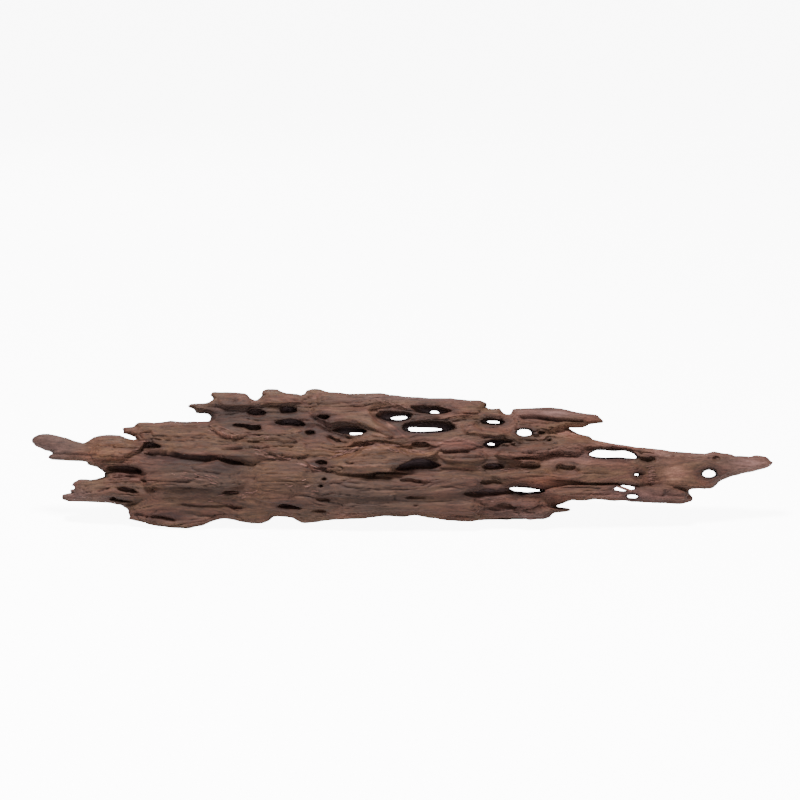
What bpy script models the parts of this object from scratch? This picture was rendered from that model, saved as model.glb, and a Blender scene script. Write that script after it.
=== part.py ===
"""A long flat piece of weathered honeycomb wood, worn into fingers at both ends and eaten through by holes.

It is one piece of wood, modelled as one solid. It grows from overlapping planks that follow the grain along X.
They are drawn in an upright frame, melted together, hollowed, leaned back and cut flat where the wood rests.
"""

import math
import random

import bmesh
import bpy
import numpy as np
from mathutils import Matrix, Vector
from mathutils.bvhtree import BVHTree

MM = 0.001
LEAN = math.radians(15.0)  # how far the broad side leans back from upright
FAR_POINT = Vector((-1.6, -1778.0, 103.2))  # the holes fan out from this point in front, mm
FLOOR = 3.6  # height of the resting plane in the leaned frame, mm
GRAIN_STEP = 1.6  # size across the grain of the mesh that the planks melt into, mm
SQUEEZE = 2.0  # the wood is built shortened along the grain, so that its facets come out long
FACETS = 10800  # triangles kept after thinning
SEED = 11

# How far the wood stands out in front and behind, by height and by place along the grain, mm.
HEIGHTS = (0, 8, 20, 35, 45, 52, 60, 70, 80, 90, 100, 112)
FRONT_BY_HEIGHT = (18, 21, 26, 29, 30, 30, 27, 22, 18, 14, 11, 8)
BACK_BY_HEIGHT = (-8, 2, 25, 38, 38, 36, 32, 27, 23, 18, 13, 8)
ALONG = (-295, -250, -200, -150, -100, -50, 50, 100, 150, 200, 250, 295)
SHARE_ALONG = (0.24, 0.38, 0.6, 0.8, 0.95, 1.0, 1.0, 0.9, 0.74, 0.56, 0.4, 0.24)

# Planks through the whole thickness. Each has its outline as (along, up) points in mm,
# what it adds in front, what it adds behind, and how wide its rounded rim is.
THROUGH_PLANKS = {
    "heart": (
        [(-200, 58), (-186, 76), (-150, 82), (-112, 90), (-60, 97), (0, 98), (40, 97), (75, 90),
         (110, 82), (150, 68), (180, 60), (192, 50), (190, 40), (150, 28), (120, 18), (90, 13),
         (40, 11), (-30, 13), (-80, 9), (-140, 12), (-185, 16), (-208, 30), (-212, 46)],
        -5, -4, 22,
    ),
    "upper left finger": (
        [(-296, 71), (-290, 74), (-275, 73.5), (-262, 70), (-254, 68.5), (-246, 73.5), (-235, 75.5),
         (-225, 75), (-213, 71), (-190, 73), (-150, 72), (-120, 64), (-125, 50), (-180, 49),
         (-212, 49), (-228, 47.5), (-244, 50), (-252, 52), (-257, 54.5), (-281, 55.5), (-283, 58),
         (-279, 60), (-281, 62), (-291, 67)],
        1, 0, 11,
    ),
    "lower left finger": (
        [(-266, 22), (-271, 24.5), (-270, 27.5), (-263, 29), (-259, 32), (-263, 35), (-259, 39),
         (-248, 39), (-236, 42), (-215, 45), (-180, 50), (-170, 30), (-180, 24), (-212, 24),
         (-224, 23), (-240, 21.5), (-256, 21.5)],
        0, 2, 9,
    ),
    "shoulder": (
        [(-223, 78), (-217, 82), (-212, 82), (-211, 85.5), (-202, 85.5), (-195, 84), (-188, 86),
         (-152, 86.5), (-120, 86), (-80, 84), (-58, 80), (-56, 62), (-80, 54), (-120, 52),
         (-160, 58), (-200, 66), (-213, 71), (-214, 74), (-220, 76)],
        3, -4, 10,
    ),
    "top left spike": (
        [(-171, 98.5), (-166, 96), (-165, 92.5), (-158, 92.5), (-153, 90), (-150, 82), (-110, 80),
         (-60, 82), (-50, 100), (-60, 110.5), (-66, 112), (-72, 112), (-77, 109), (-82, 106.5),
         (-92, 108.5), (-99, 111.5), (-107, 112), (-111, 110.5), (-114, 105), (-118, 103),
         (-125, 108.5), (-151, 110), (-153.5, 108), (-151, 105), (-154, 101), (-169, 100)],
        0, 1, 9,
    ),
    "top edge": (
        [(-85, 88), (-60, 110), (-45, 108.5), (-16, 108.5), (5, 105.5), (39, 104.5), (62, 102.5),
         (68, 99.5), (67, 97.5), (72, 96), (77, 96.5), (82, 93), (88, 92.5), (112, 82), (112, 66),
         (40, 62), (-20, 66)],
        1, -2, 12,
    ),
    "right blade": (
        [(89, 95), (110, 96.5), (119, 97.5), (128, 96.5), (139, 93.5), (156, 91), (160, 86.5),
         (150, 84.5), (144, 82), (131, 81.5), (112, 72), (90, 74), (84, 88)],
        2, 1, 8,
    ),
    "right finger": (
        [(80, 88), (100, 84), (131, 81), (135, 79), (140, 76.5), (150, 74), (154, 70.5),
         (163, 69.5), (168, 67.5), (185, 65.5), (206, 64), (215, 62), (243, 60), (250, 62),
         (264, 59.5), (268, 57), (276, 57), (283, 59), (290, 57), (296.5, 52.5), (292, 49.5),
         (281, 46), (273, 45), (264, 42.5), (255, 39.5), (247, 32), (229, 31.5), (200, 30),
         (150, 30), (110, 28), (70, 30), (60, 60)],
        0, 0, 11,
    ),
    "right lower plank": (
        [(60, 30), (110, 36), (170, 38), (210, 36), (229, 31.5), (231, 25.5), (232, 22.5),
         (223, 20), (188, 21.5), (176, 23), (156, 24), (143, 22), (123, 22.5), (122, 19),
         (134, 16), (131, 14.5), (119, 13.5), (118, 10), (113, 8), (101, 7.5), (93, 9), (78, 9),
         (62, 7), (52, 6), (37, 7), (30, 20)],
        -2, 0, 9,
    ),
    "bottom band": (
        [(-195, 42), (-100, 50), (0, 46), (60, 40), (64, 7), (52, 6), (37, 7), (22, 9), (11, 11),
         (-14, 10.5), (-29, 8.5), (-55, 7.5), (-70, 5.5), (-79, 4.5), (-88, 9), (-96, 10.5),
         (-104, 10), (-107, 6.5), (-112, 4.5), (-121, 4.5), (-142, 8.5), (-150, 7), (-159, 3),
         (-171, 0), (-183, 0.5), (-199, 3), (-211, 6), (-219, 8), (-219, 15), (-212, 20),
         (-205, 30)],
        0, 0, 10,
    ),
}

# Ledges laid on one face only: outline, how far they stand out, and rim width, mm.
FRONT_LEDGES = {
    "shoulder ledge": (
        [(-210, 68), (-206, 80), (-170, 84), (-130, 83), (-96, 80), (-70, 74), (-64, 68), (-84, 64),
         (-118, 62), (-130, 60), (-158, 62), (-190, 64)], 6, 4,
    ),
    "tan ridge": (
        [(-82, 52), (-66, 46), (-40, 45.5), (-20, 45), (-4, 46), (2, 53), (10, 57), (26, 57), (32, 63),
         (20, 70), (-6, 73), (-30, 71), (-55, 67), (-76, 62)], 7, 5,
    ),
    "band under the shoulder": (
        [(-256, 53), (-238, 57), (-219, 57), (-180, 54), (-146, 53), (-122, 50), (-150, 46),
         (-200, 48), (-238, 49)], 3, 4,
    ),
    "left swell": (
        [(-132, 30), (-128, 18), (-108, 14), (-86, 22), (-76, 34), (-84, 50), (-104, 58), (-124, 58),
         (-140, 46)], 4, 8,
    ),
    "left lower ledge": (
        [(-204, 34), (-190, 44), (-160, 50), (-140, 46), (-136, 34), (-150, 24), (-184, 22)], 2, 6,
    ),
    "grey band": (
        [(-62, 42), (0, 43), (60, 42), (76, 36), (70, 22), (58, 13), (0, 14), (-58, 13), (-74, 26)],
        3, 6,
    ),
    "middle wall": (
        [(30, 58), (36, 70), (60, 73), (68, 66), (70, 58), (56, 54), (40, 52)], 5, 5,
    ),
    "torn plate": (
        [(74, 60), (82, 66), (100, 71), (130, 72), (148, 66), (132, 58), (108, 58), (92, 59)], 5, 4,
    ),
    "right main plank": (
        [(66, 42), (84, 46), (110, 50), (150, 54), (188, 54), (199, 49), (191, 45), (199, 40),
         (190, 36), (150, 37), (110, 36), (80, 38)], 6, 4,
    ),
    "slot rod": (
        [(112, 64), (140, 70), (168, 66.5), (200, 63.5), (226, 60), (206, 62), (170, 64), (146, 62),
         (124, 58)], 3, 3,
    ),
    "right tail": (
        [(206, 50), (212, 58), (243, 59), (262, 57), (286, 56), (290, 52), (264, 46), (246, 40),
         (220, 36), (206, 40)], 2, 5,
    ),
    "blade ridge": (
        [(92, 90), (126, 92), (150, 90), (156, 88), (124, 86), (92, 84)], 4, 3,
    ),
    "spike ledge": (
        [(-166, 98), (-152, 103), (-124, 105), (-104, 108), (-70, 107), (-50, 104), (-56, 99),
         (-90, 99), (-126, 98)], 4, 3,
    ),
    "top shelf": (
        [(-46, 104), (-10, 105), (20, 102), (60, 101), (64, 97), (40, 98), (10, 100), (-24, 98),
         (-44, 97)], 4, 3,
    ),
}
BACK_LEDGES = {
    "long back ridge": (
        [(-230, 60), (-190, 70), (-100, 74), (0, 72), (70, 64), (50, 54), (-60, 50), (-180, 50)], 7, 8,
    ),
    "low back ridge": (
        [(-170, 22), (-120, 36), (-20, 40), (60, 34), (110, 24), (40, 14), (-90, 12)], 6, 8,
    ),
    "right back ridge": (
        [(40, 50), (90, 60), (170, 56), (240, 50), (262, 48), (200, 40), (110, 40)], 6, 7,
    ),
    "high back ridge": (
        [(-130, 92), (-80, 100), (0, 98), (60, 92), (96, 86), (40, 84), (-60, 84)], 5, 6,
    ),
    "left back ridge": (
        [(-215, 34), (-180, 42), (-130, 44), (-110, 38), (-150, 30), (-200, 26)], 5, 6,
    ),
}
# The low spots that carry the wood together with its lower left corner: outline, front and back, mm.
FEET = {
    "back foot": (
        [(-78, 20), (-60, 34), (-30, 38), (4, 32), (14, 20), (-8, 11), (-30, 10), (-58, 12)], -12, -37,
    ),
    "right foot": (
        [(44, 16), (56, 26), (84, 28), (108, 22), (112, 12), (100, 8), (76, 7.5), (54, 7)], -2, -22,
    ),
}

# Holes right through, each a front mouth and a neck as (along, up, length, height) in mm.
THROUGH_HOLES = [
    ((-8, 94, 30, 15), (-2.6, 88.8, 15, 5)),
    ((21, 96, 34, 8), (26, 93.4, 9, 4)),
    ((19, 80.5, 40, 10), (18, 79.6, 28, 5.5)),
    ((-46, 79, 28, 9), (-38.8, 76.3, 10, 3)),
    ((73, 85.5, 22, 7), (73.4, 85.5, 15, 4)),
    ((97.4, 77.6, 16, 10), (97.8, 77, 13.5, 7)),
    ((78, 69, 26, 7), (71, 68, 9, 4)),
    ((94, 30.6, 40, 9), (99, 31.4, 26, 5.5)),
    ((169, 59.6, 44, 10), (169, 59.6, 39.5, 7.5)),
    ((191, 43.6, 12, 6), (188, 43.6, 4.5, 4)),
    ((178.4, 33, 20, 6), (178.4, 33, 16.5, 4.4)),
    ((184.6, 26.2, 13, 6), (184.6, 26.2, 10.5, 4.6)),
    ((244, 44.4, 17, 9), (245.6, 44.4, 11.5, 7.5)),
]
# Hollows that end inside the wood: along, up, length, height, depth in mm.
FRONT_HOLLOWS = [
    (-117, 93.8, 16, 7, 13), (-91.4, 95.4, 13, 7, 13), (-62.4, 90.4, 9, 5, 10),
    (-125, 81, 26, 6, 11), (-88.8, 84.7, 25, 7.5, 13), (-73.6, 76.6, 11, 6, 11),
    (-54, 70.4, 12, 5, 9), (-138.8, 63.8, 15, 4, 8), (-136, 54.4, 32, 6, 9),
    (-64.3, 53, 11, 5.5, 10), (-136.8, 29.6, 15, 4, 7), (-90.9, 18.4, 20, 5.5, 10),
    (-64.3, 23, 13, 4, 7), (15.7, 66.8, 16, 6.5, 12), (12.6, 50, 36, 9, 15),
    (72.8, 49.5, 17, 7, 14), (71.8, 37.8, 22, 5, 9), (12.6, 38.8, 30, 4, 7),
    (10.6, 25.2, 23, 3.5, 6), (81, 18.9, 22, 6, 9), (60, 29, 26, 7, 10),
    (131, 47, 16, 5, 9), (197, 54.6, 13, 5, 8), (253.3, 56, 8, 4, 6),
    (-200, 67.6, 18, 5, 8), (-222, 48.5, 27, 6, 9), (-218.9, 31.6, 20, 6, 8),
    (-206.6, 38.8, 12, 4, 6), (-221, 22.8, 20, 4.5, 9), (142, 37, 44, 4.5, 8),
    (92, 55, 34, 5, 8), (-186, 57, 40, 6, 8), (-30, 44.6, 66, 3.4, 7),
]
BACK_HOLLOWS = 26
EDGE_HOLLOWS = 7


def clear_scene():
    for old in list(bpy.data.objects):
        bpy.data.objects.remove(old)


def collection(name):
    made = bpy.data.collections.new(name)
    bpy.context.scene.collection.children.link(made)
    return made


def add_object(name, mesh, home):
    made = bpy.data.objects.new(name, mesh)
    home.objects.link(made)
    return made


def cast_mesh(source, modifiers):
    """The mesh of an object after modifiers given as (type, settings)."""
    for kind, settings in modifiers:
        added = source.modifiers.new(kind.title(), kind)
        for key, value in settings.items():
            setattr(added, key, value)
    graph = bpy.context.evaluated_depsgraph_get()
    mesh = bpy.data.meshes.new_from_object(source.evaluated_get(graph))
    source.modifiers.clear()
    return mesh


def points_of(mesh):
    flat = np.empty(len(mesh.vertices) * 3, dtype=np.float32)
    mesh.vertices.foreach_get("co", flat)
    return flat.reshape(-1, 3).astype(np.float64)


def set_points(mesh, points):
    mesh.vertices.foreach_set("co", points.astype(np.float32).ravel())
    mesh.update()


def rim_distance(along, up, outline):
    """Distance in mm of each point from the nearest side of an outline."""
    corners = np.array(outline, dtype=float)
    best = np.full(len(along), 1e9)
    for (ax, ay), (bx, by) in zip(corners, np.roll(corners, -1, axis=0)):
        dx, dy = bx - ax, by - ay
        t = np.clip(((along - ax) * dx + (up - ay) * dy) / (dx * dx + dy * dy), 0, 1)
        best = np.minimum(best, np.hypot(along - ax - t * dx, up - ay - t * dy))
    return best


def front_of(along, up):
    return np.interp(up, HEIGHTS, FRONT_BY_HEIGHT) * np.interp(along, ALONG, SHARE_ALONG)


def back_of(along, up):
    return -np.interp(up, HEIGHTS, BACK_BY_HEIGHT) * np.interp(along, ALONG, SHARE_ALONG)


def wander(along, up, turn):
    """A slow rise and fall, long along the grain and short across it, in mm."""
    long_wave = np.sin(along / 34 + turn * 1.7 + 0.6 * np.sin(up / 13 + turn))
    short_wave = np.sin(up / 4.6 + turn * 2.3 + 1.3 * np.sin(along / 47 + turn))
    ripple = np.sin(up / 2.1 + turn * 3.1 + 1.6 * np.sin(along / 31 + turn * 2))
    return 1.4 * long_wave + 1.3 * short_wave + 0.5 * ripple


def slab(name, outline, home):
    """A thin even slab over an outline, standing upright with its middle at Y = 0."""
    mesh = bpy.data.meshes.new(name)
    bm = bmesh.new()
    thick = 3 * GRAIN_STEP * MM
    corners = [bm.verts.new((x * MM / SQUEEZE, -thick, z * MM)) for x, z in outline]
    face = bm.faces.new(corners)
    lifted = bmesh.ops.extrude_face_region(bm, geom=[face])
    moved = [item for item in lifted["geom"] if isinstance(item, bmesh.types.BMVert)]
    bmesh.ops.translate(bm, verts=moved, vec=(0, 2 * thick, 0))
    bmesh.ops.recalc_face_normals(bm, faces=bm.faces)
    bm.to_mesh(mesh)
    bm.free()
    flat = add_object(name, mesh, home)
    even = cast_mesh(flat, [("REMESH", {"mode": "VOXEL", "voxel_size": GRAIN_STEP * MM})])
    bpy.data.objects.remove(flat)
    return even


def plank(name, outline, front, back, rim, edge, home, turn):
    """A slab swollen to reach from back(x, z) to front(x, z), thinned to a share of that at its rim."""
    mesh = slab(name, outline, home)
    points = points_of(mesh)
    along, up = points[:, 0] * SQUEEZE / MM, points[:, 2] / MM
    side = np.clip(-points[:, 1] / (3 * GRAIN_STEP * MM), -1, 1)
    near, far = front(along, up), back(along, up)
    inward = np.clip(rim_distance(along, up, outline) / rim, 0, 1)
    swell = edge + (1 - edge) * np.sqrt(1 - (1 - inward) ** 2)
    stand = (near + far) / 2 + side * (near - far) / 2 * swell + wander(along, up, turn)
    points[:, 1] = -stand * MM
    set_points(mesh, points)
    return mesh


def all_planks(home):
    made = []
    for turn, (name, (outline, more, less, rim)) in enumerate(THROUGH_PLANKS.items()):
        made.append(plank(
            name, outline, lambda x, z, m=more: front_of(x, z) + m,
            lambda x, z, m=less: back_of(x, z) - m, rim, 0.34, home, turn))
    for turn, (name, (outline, lift, rim)) in enumerate(FRONT_LEDGES.items(), 20):
        made.append(plank(
            name, outline, lambda x, z, m=lift: front_of(x, z) + m,
            lambda x, z: front_of(x, z) - 16 * np.interp(x, ALONG, SHARE_ALONG),
            rim, 0.6, home, turn))
    for turn, (name, (outline, lift, rim)) in enumerate(BACK_LEDGES.items(), 40):
        made.append(plank(
            name, outline, lambda x, z: back_of(x, z) + 12,
            lambda x, z, m=lift: back_of(x, z) - m, rim, 0.5, home, turn))
    for turn, (name, (outline, near, far)) in enumerate(FEET.items(), 60):
        made.append(plank(
            name, outline, lambda x, z, m=near: np.full(len(x), m),
            lambda x, z, m=far: np.full(len(x), m), 9, 0.4, home, turn))
    return made


def melt(meshes, home):
    """All planks as one even skin."""
    bm = bmesh.new()
    for mesh in meshes:
        bm.from_mesh(mesh)
    joined = bpy.data.meshes.new("planks together")
    bm.to_mesh(joined)
    bm.free()
    whole = add_object("planks together", joined, home)
    skin = cast_mesh(whole, [
        ("REMESH", {"mode": "VOXEL", "voxel_size": GRAIN_STEP * MM}),
        ("SMOOTH", {"factor": 0.5, "iterations": 1}),
    ])
    bpy.data.objects.remove(whole)
    return skin


def ring(length, height, segments, blunt):
    """Eye-shaped ring of (along, up) offsets; a low blunt number gives round ends."""
    turns = [2 * math.pi * step / segments for step in range(segments)]
    return [
        (length / 2 * math.cos(a), height / 2 * math.copysign(abs(math.sin(a)) ** blunt, math.sin(a)))
        for a in turns
    ]


def tunnel(name, stations, segments, blunt, home, chance):
    """A closed cutter lofted through stations of (depth, along, up, length, height)."""
    mesh = bpy.data.meshes.new(name)
    bm = bmesh.new()
    wobble = [chance.uniform(0.88, 1.12) for _ in range(segments)]
    rings = []
    for depth, x, z, length, height in stations:
        shape = ring(length, height, segments, blunt)
        rings.append([
            bm.verts.new(((x + dx * k) * MM / SQUEEZE, -depth * MM, (z + dz * k) * MM))
            for (dx, dz), k in zip(shape, wobble)
        ])
    for near, far in zip(rings, rings[1:]):
        for i in range(segments):
            j = (i + 1) % segments
            bm.faces.new((near[i], near[j], far[j], far[i]))
    bm.faces.new(rings[0])
    bm.faces.new(rings[-1])
    bmesh.ops.recalc_face_normals(bm, faces=bm.faces)
    bm.to_mesh(mesh)
    bm.free()
    cutter = add_object(name, mesh, home)
    cutter.hide_render = True
    cutter.display_type = "WIRE"
    return cutter


def surface_depth(tree, x, z, behind=False):
    """How far the skin stands out at (x, z), in mm; None where there is no wood."""
    start = Vector((x * MM / SQUEEZE, 0.2 if behind else -0.2, z * MM))
    hit = tree.ray_cast(start, Vector((0, -1 if behind else 1, 0)))[0]
    return None if hit is None else -hit.y / MM


def hole_cutters(tree, home, chance):
    made = []
    for number, (mouth, neck) in enumerate(THROUGH_HOLES):
        mx, mz, mouth_long, mouth_high = mouth
        nx, nz, neck_long, neck_high = neck
        front = surface_depth(tree, mx, mz) or 10
        back = surface_depth(tree, nx, nz, behind=True) or -10
        middle = (front + back) / 2
        stations = [
            (front + 6, mx, mz, mouth_long * 1.25, mouth_high * 1.3),
            (front - 2, mx, mz, mouth_long, mouth_high),
            (middle + 3, nx, nz, neck_long, neck_high),
            (middle - 4, nx, nz, neck_long * 1.05, neck_high * 1.1),
            (back + 2, nx, nz, neck_long * 1.5, neck_high * 1.7),
            (back - 6, nx, nz, neck_long * 1.8, neck_high * 2.1),
        ]
        made.append(tunnel(f"hole {number}", stations, 14, 1.15, home, chance))
    return made


def hollow_cutter(name, tree, spot, behind, home, chance):
    x, z, length, height, depth = spot
    top = surface_depth(tree, x, z, behind)
    if top is None:
        return None
    way = -1 if behind else 1
    drift = chance.uniform(-0.12, 0.12) * length
    stations = [
        (top + way * 5, x, z, length * 1.2, height * 1.3),
        (top - way * 1, x, z, length, height),
        (top - way * depth * 0.6, x + drift, z + 0.14 * height, length * 0.78, height * 0.86),
        (top - way * depth, x + drift * 1.5, z + 0.2 * height, length * 0.34, height * 0.4),
    ]
    return tunnel(name, stations, 10, 1.2, home, chance)


def back_spots(chance):
    """Hollows strewn over the hidden side, longer where the wood is thick."""
    spots = []
    while len(spots) < BACK_HOLLOWS:
        x = chance.uniform(-215, 215)
        z = chance.uniform(20, 94) if abs(x) < 110 else chance.uniform(32, 62)
        length = chance.uniform(12, 34)
        if all(abs(x - s[0]) > (length + s[2]) * 0.55 or abs(z - s[1]) > 9 for s in spots):
            spots.append((x, z, length, chance.uniform(4.5, 8.5), chance.uniform(7, 14)))
    return spots


def hollow_cutters(tree, home, chance):
    made = []
    for number, spot in enumerate(FRONT_HOLLOWS):
        made.append(hollow_cutter(f"front hollow {number}", tree, spot, False, home, chance))
    for number, spot in enumerate(back_spots(chance)):
        made.append(hollow_cutter(f"back hollow {number}", tree, spot, True, home, chance))
    return [cutter for cutter in made if cutter]


def cut(skin, cutters, home):
    body = add_object("hollowed", skin, home)
    bodies = [("BOOLEAN", {"operation": "DIFFERENCE", "solver": "MANIFOLD", "object": cutter})
              for cutter in cutters]
    mesh = cast_mesh(body, bodies)
    bpy.data.objects.remove(body)
    return mesh


def fan_out(mesh):
    """Draws the wood to full length and spreads it slightly away from the far point."""
    points = points_of(mesh) / MM
    points[:, 0] *= SQUEEZE
    reach = (points[:, 1] - FAR_POINT.y) / -FAR_POINT.y
    points[:, 0] = FAR_POINT.x + (points[:, 0] - FAR_POINT.x) * reach
    points[:, 2] = FAR_POINT.z + (points[:, 2] - FAR_POINT.z) * reach
    set_points(mesh, points * MM)


def thin(mesh, home):
    body = add_object("thinned", mesh, home)
    mesh.calc_loop_triangles()
    share = FACETS / len(mesh.loop_triangles)
    kept = cast_mesh(body, [
        ("WELD", {"merge_threshold": 0.00005}),
        ("TRIANGULATE", {}),
        ("DECIMATE", {"decimate_type": "COLLAPSE", "ratio": min(1.0, share)}),
    ])
    bpy.data.objects.remove(body)
    return kept


def keep_largest(bm):
    """Drops crumbs that the cuts left loose."""
    bm.verts.ensure_lookup_table()
    seen = set()
    islands = []
    for start in bm.verts:
        if start in seen:
            continue
        seen.add(start)
        island, queue = [start], [start]
        while queue:
            for edge in queue.pop().link_edges:
                for other in edge.verts:
                    if other not in seen:
                        seen.add(other)
                        island.append(other)
                        queue.append(other)
        islands.append(island)
    islands.sort(key=len)
    loose = [vert for island in islands[:-1] for vert in island]
    bmesh.ops.delete(bm, geom=loose, context="VERTS")
    return len(islands) - 1


def drop_flaps(bm):
    """Removes stray triangles that hang on an edge shared by two others."""
    flaps = {
        face for edge in bm.edges if len(edge.link_faces) > 2 for face in edge.link_faces
        if any(len(side.link_faces) == 1 for side in face.edges)
    }
    bmesh.ops.delete(bm, geom=list(flaps), context="FACES")


def rest(mesh):
    """Leans the wood back, cuts its feet flat and puts the origin under its middle."""
    mesh.transform(Matrix.Rotation(-LEAN, 4, "X"))
    bm = bmesh.new()
    bm.from_mesh(mesh)
    crumbs = keep_largest(bm)
    drop_flaps(bm)
    cut_at = FLOOR * MM
    bmesh.ops.bisect_plane(
        bm, geom=bm.verts[:] + bm.edges[:] + bm.faces[:], dist=1e-7,
        plane_co=(0, 0, cut_at), plane_no=(0, 0, -1), clear_outer=True)
    rims = [edge for edge in bm.edges if edge.is_boundary]
    bmesh.ops.triangle_fill(bm, edges=rims, use_beauty=True, use_dissolve=False)
    bmesh.ops.triangulate(bm, faces=[face for face in bm.faces if len(face.verts) > 3])
    bmesh.ops.recalc_face_normals(bm, faces=bm.faces)
    bm.to_mesh(mesh)
    bm.free()
    points = points_of(mesh)
    low, high = points.min(axis=0), points.max(axis=0)
    shift = Vector((-(low[0] + high[0]) / 2, -(low[1] + high[1]) / 2, -cut_at))
    mesh.transform(Matrix.Translation(shift))
    print("crumbs", crumbs, "shift mm", [round(c / MM, 3) for c in shift])
    return mesh


def wood_material():
    made = bpy.data.materials.new("wood")
    made.use_nodes = True
    shader = made.node_tree.nodes["Principled BSDF"]
    shader.inputs["Base Color"].default_value = (0.16, 0.075, 0.045, 1)
    shader.inputs["Roughness"].default_value = 0.75
    return made


def main():
    clear_scene()
    wood = collection("honeycomb wood")
    guides = collection("cutters")
    chance = random.Random(SEED)
    skin = melt(all_planks(guides), guides)
    tree = BVHTree.FromPolygons(
        [v.co for v in skin.vertices], [tuple(p.vertices) for p in skin.polygons])
    cutters = hole_cutters(tree, guides, chance) + hollow_cutters(tree, guides, chance)
    print("skin faces", len(skin.polygons), "cutters", len(cutters))
    mesh = cut(skin, cutters, guides)
    fan_out(mesh)
    mesh = rest(thin(mesh, guides))
    mesh.name = "honeycomb_wood"
    body = add_object("honeycomb_wood", mesh, wood)
    body.data.materials.clear()
    body.data.materials.append(wood_material())
    mesh.calc_loop_triangles()
    print("triangles", len(mesh.loop_triangles), "size mm", [round(c / MM, 1) for c in body.dimensions])


main()
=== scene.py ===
# %% [markdown]
# # A piece of honeycomb wood
# A long flat piece of hardwood. Borers ate holes through it, and water wore away the soft wood between
# its fibres. Such a piece could be sculpted with brushes. Here planks are drawn as outlines, melted into
# one skin, hollowed, roughened along the grain and coloured, because each form then keeps a name, a place
# and a size of its own, and can be changed without touching the rest.

# %% Start from the solid model
import math
import random

import bmesh
import bpy
import numpy as np
from mathutils import Matrix, Vector
from mathutils.bvhtree import BVHTree


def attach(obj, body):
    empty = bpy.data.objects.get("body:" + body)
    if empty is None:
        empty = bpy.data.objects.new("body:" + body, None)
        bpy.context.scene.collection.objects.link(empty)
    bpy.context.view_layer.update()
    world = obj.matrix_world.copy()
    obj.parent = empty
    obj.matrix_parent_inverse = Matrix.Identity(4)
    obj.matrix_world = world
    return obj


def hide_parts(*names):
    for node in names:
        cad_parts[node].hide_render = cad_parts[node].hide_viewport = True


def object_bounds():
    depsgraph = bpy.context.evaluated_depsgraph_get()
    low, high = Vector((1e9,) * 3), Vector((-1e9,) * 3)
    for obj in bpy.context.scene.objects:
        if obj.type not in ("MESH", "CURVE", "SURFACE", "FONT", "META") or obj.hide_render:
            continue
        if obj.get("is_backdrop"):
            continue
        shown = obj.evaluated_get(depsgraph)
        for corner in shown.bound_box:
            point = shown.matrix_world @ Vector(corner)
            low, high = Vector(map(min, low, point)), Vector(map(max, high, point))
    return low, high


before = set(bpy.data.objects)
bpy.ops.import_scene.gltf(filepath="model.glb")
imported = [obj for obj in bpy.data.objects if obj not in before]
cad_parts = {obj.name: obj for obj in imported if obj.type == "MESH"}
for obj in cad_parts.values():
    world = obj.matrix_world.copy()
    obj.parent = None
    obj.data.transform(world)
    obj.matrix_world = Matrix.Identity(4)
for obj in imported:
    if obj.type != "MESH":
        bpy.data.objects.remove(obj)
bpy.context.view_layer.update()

print("nodes", sorted(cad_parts))

# %% [markdown]
# ## Sizes
# All outlines are drawn upright, in mm: along the grain, and up. The wood is built shortened along the
# grain by SQUEEZE, so that the faces of its skin come out longer along the grain than across it, as its
# fibres are. Two profiles give its thickness by height, and a third one thins it towards both ends.

# %% Sizes
MM = 0.001
LEAN = math.radians(15.0)  # how far the broad side leans back from upright
FAR_POINT = Vector((-1.6, -1778.0, 103.2))  # the holes fan out from this point in front, mm
FLOOR = 3.6  # height of the resting plane in the leaned wood, mm
TO_MIDDLE = (0.105, -16.021)  # from the middle of the leaned wood to the origin, mm
STEP = 0.66  # side of the small cubes of space that the planks are cast into, mm
SQUEEZE = 1.6
SLAB = 2.4  # half the thickness of a plank before its skin is moved in depth, mm
SEED = 11
MOST_TRIANGLES = 190000

HEIGHTS = (0, 8, 20, 35, 45, 52, 60, 70, 80, 90, 100, 112)
FRONT_BY_HEIGHT = (18, 21, 26, 29, 30, 30, 27, 22, 18, 14, 11, 8)
BACK_BY_HEIGHT = (-8, 2, 25, 38, 38, 36, 32, 27, 23, 18, 13, 8)
ALONG = (-295, -250, -200, -150, -100, -50, 50, 100, 150, 200, 250, 295)
SHARE_ALONG = (0.24, 0.38, 0.6, 0.8, 0.95, 1.0, 1.0, 0.9, 0.74, 0.56, 0.4, 0.24)
print("thickest part mm", max(f + b for f, b in zip(FRONT_BY_HEIGHT, BACK_BY_HEIGHT)))

# %% [markdown]
# ## The planks that make the outline
# Seen from the front, the wood is a few overlapping planks: a thick heart, fingers at both ends, a spike,
# a blade and a bottom band. Each goes through the whole thickness. Beside its outline it has what it adds
# in front, what it adds behind, the width of its rounded rim, and the share of its thickness that is left
# at the rim. PLANK_ENDS tells over how many mm the left and right ends of a plank sink into the others.

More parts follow.
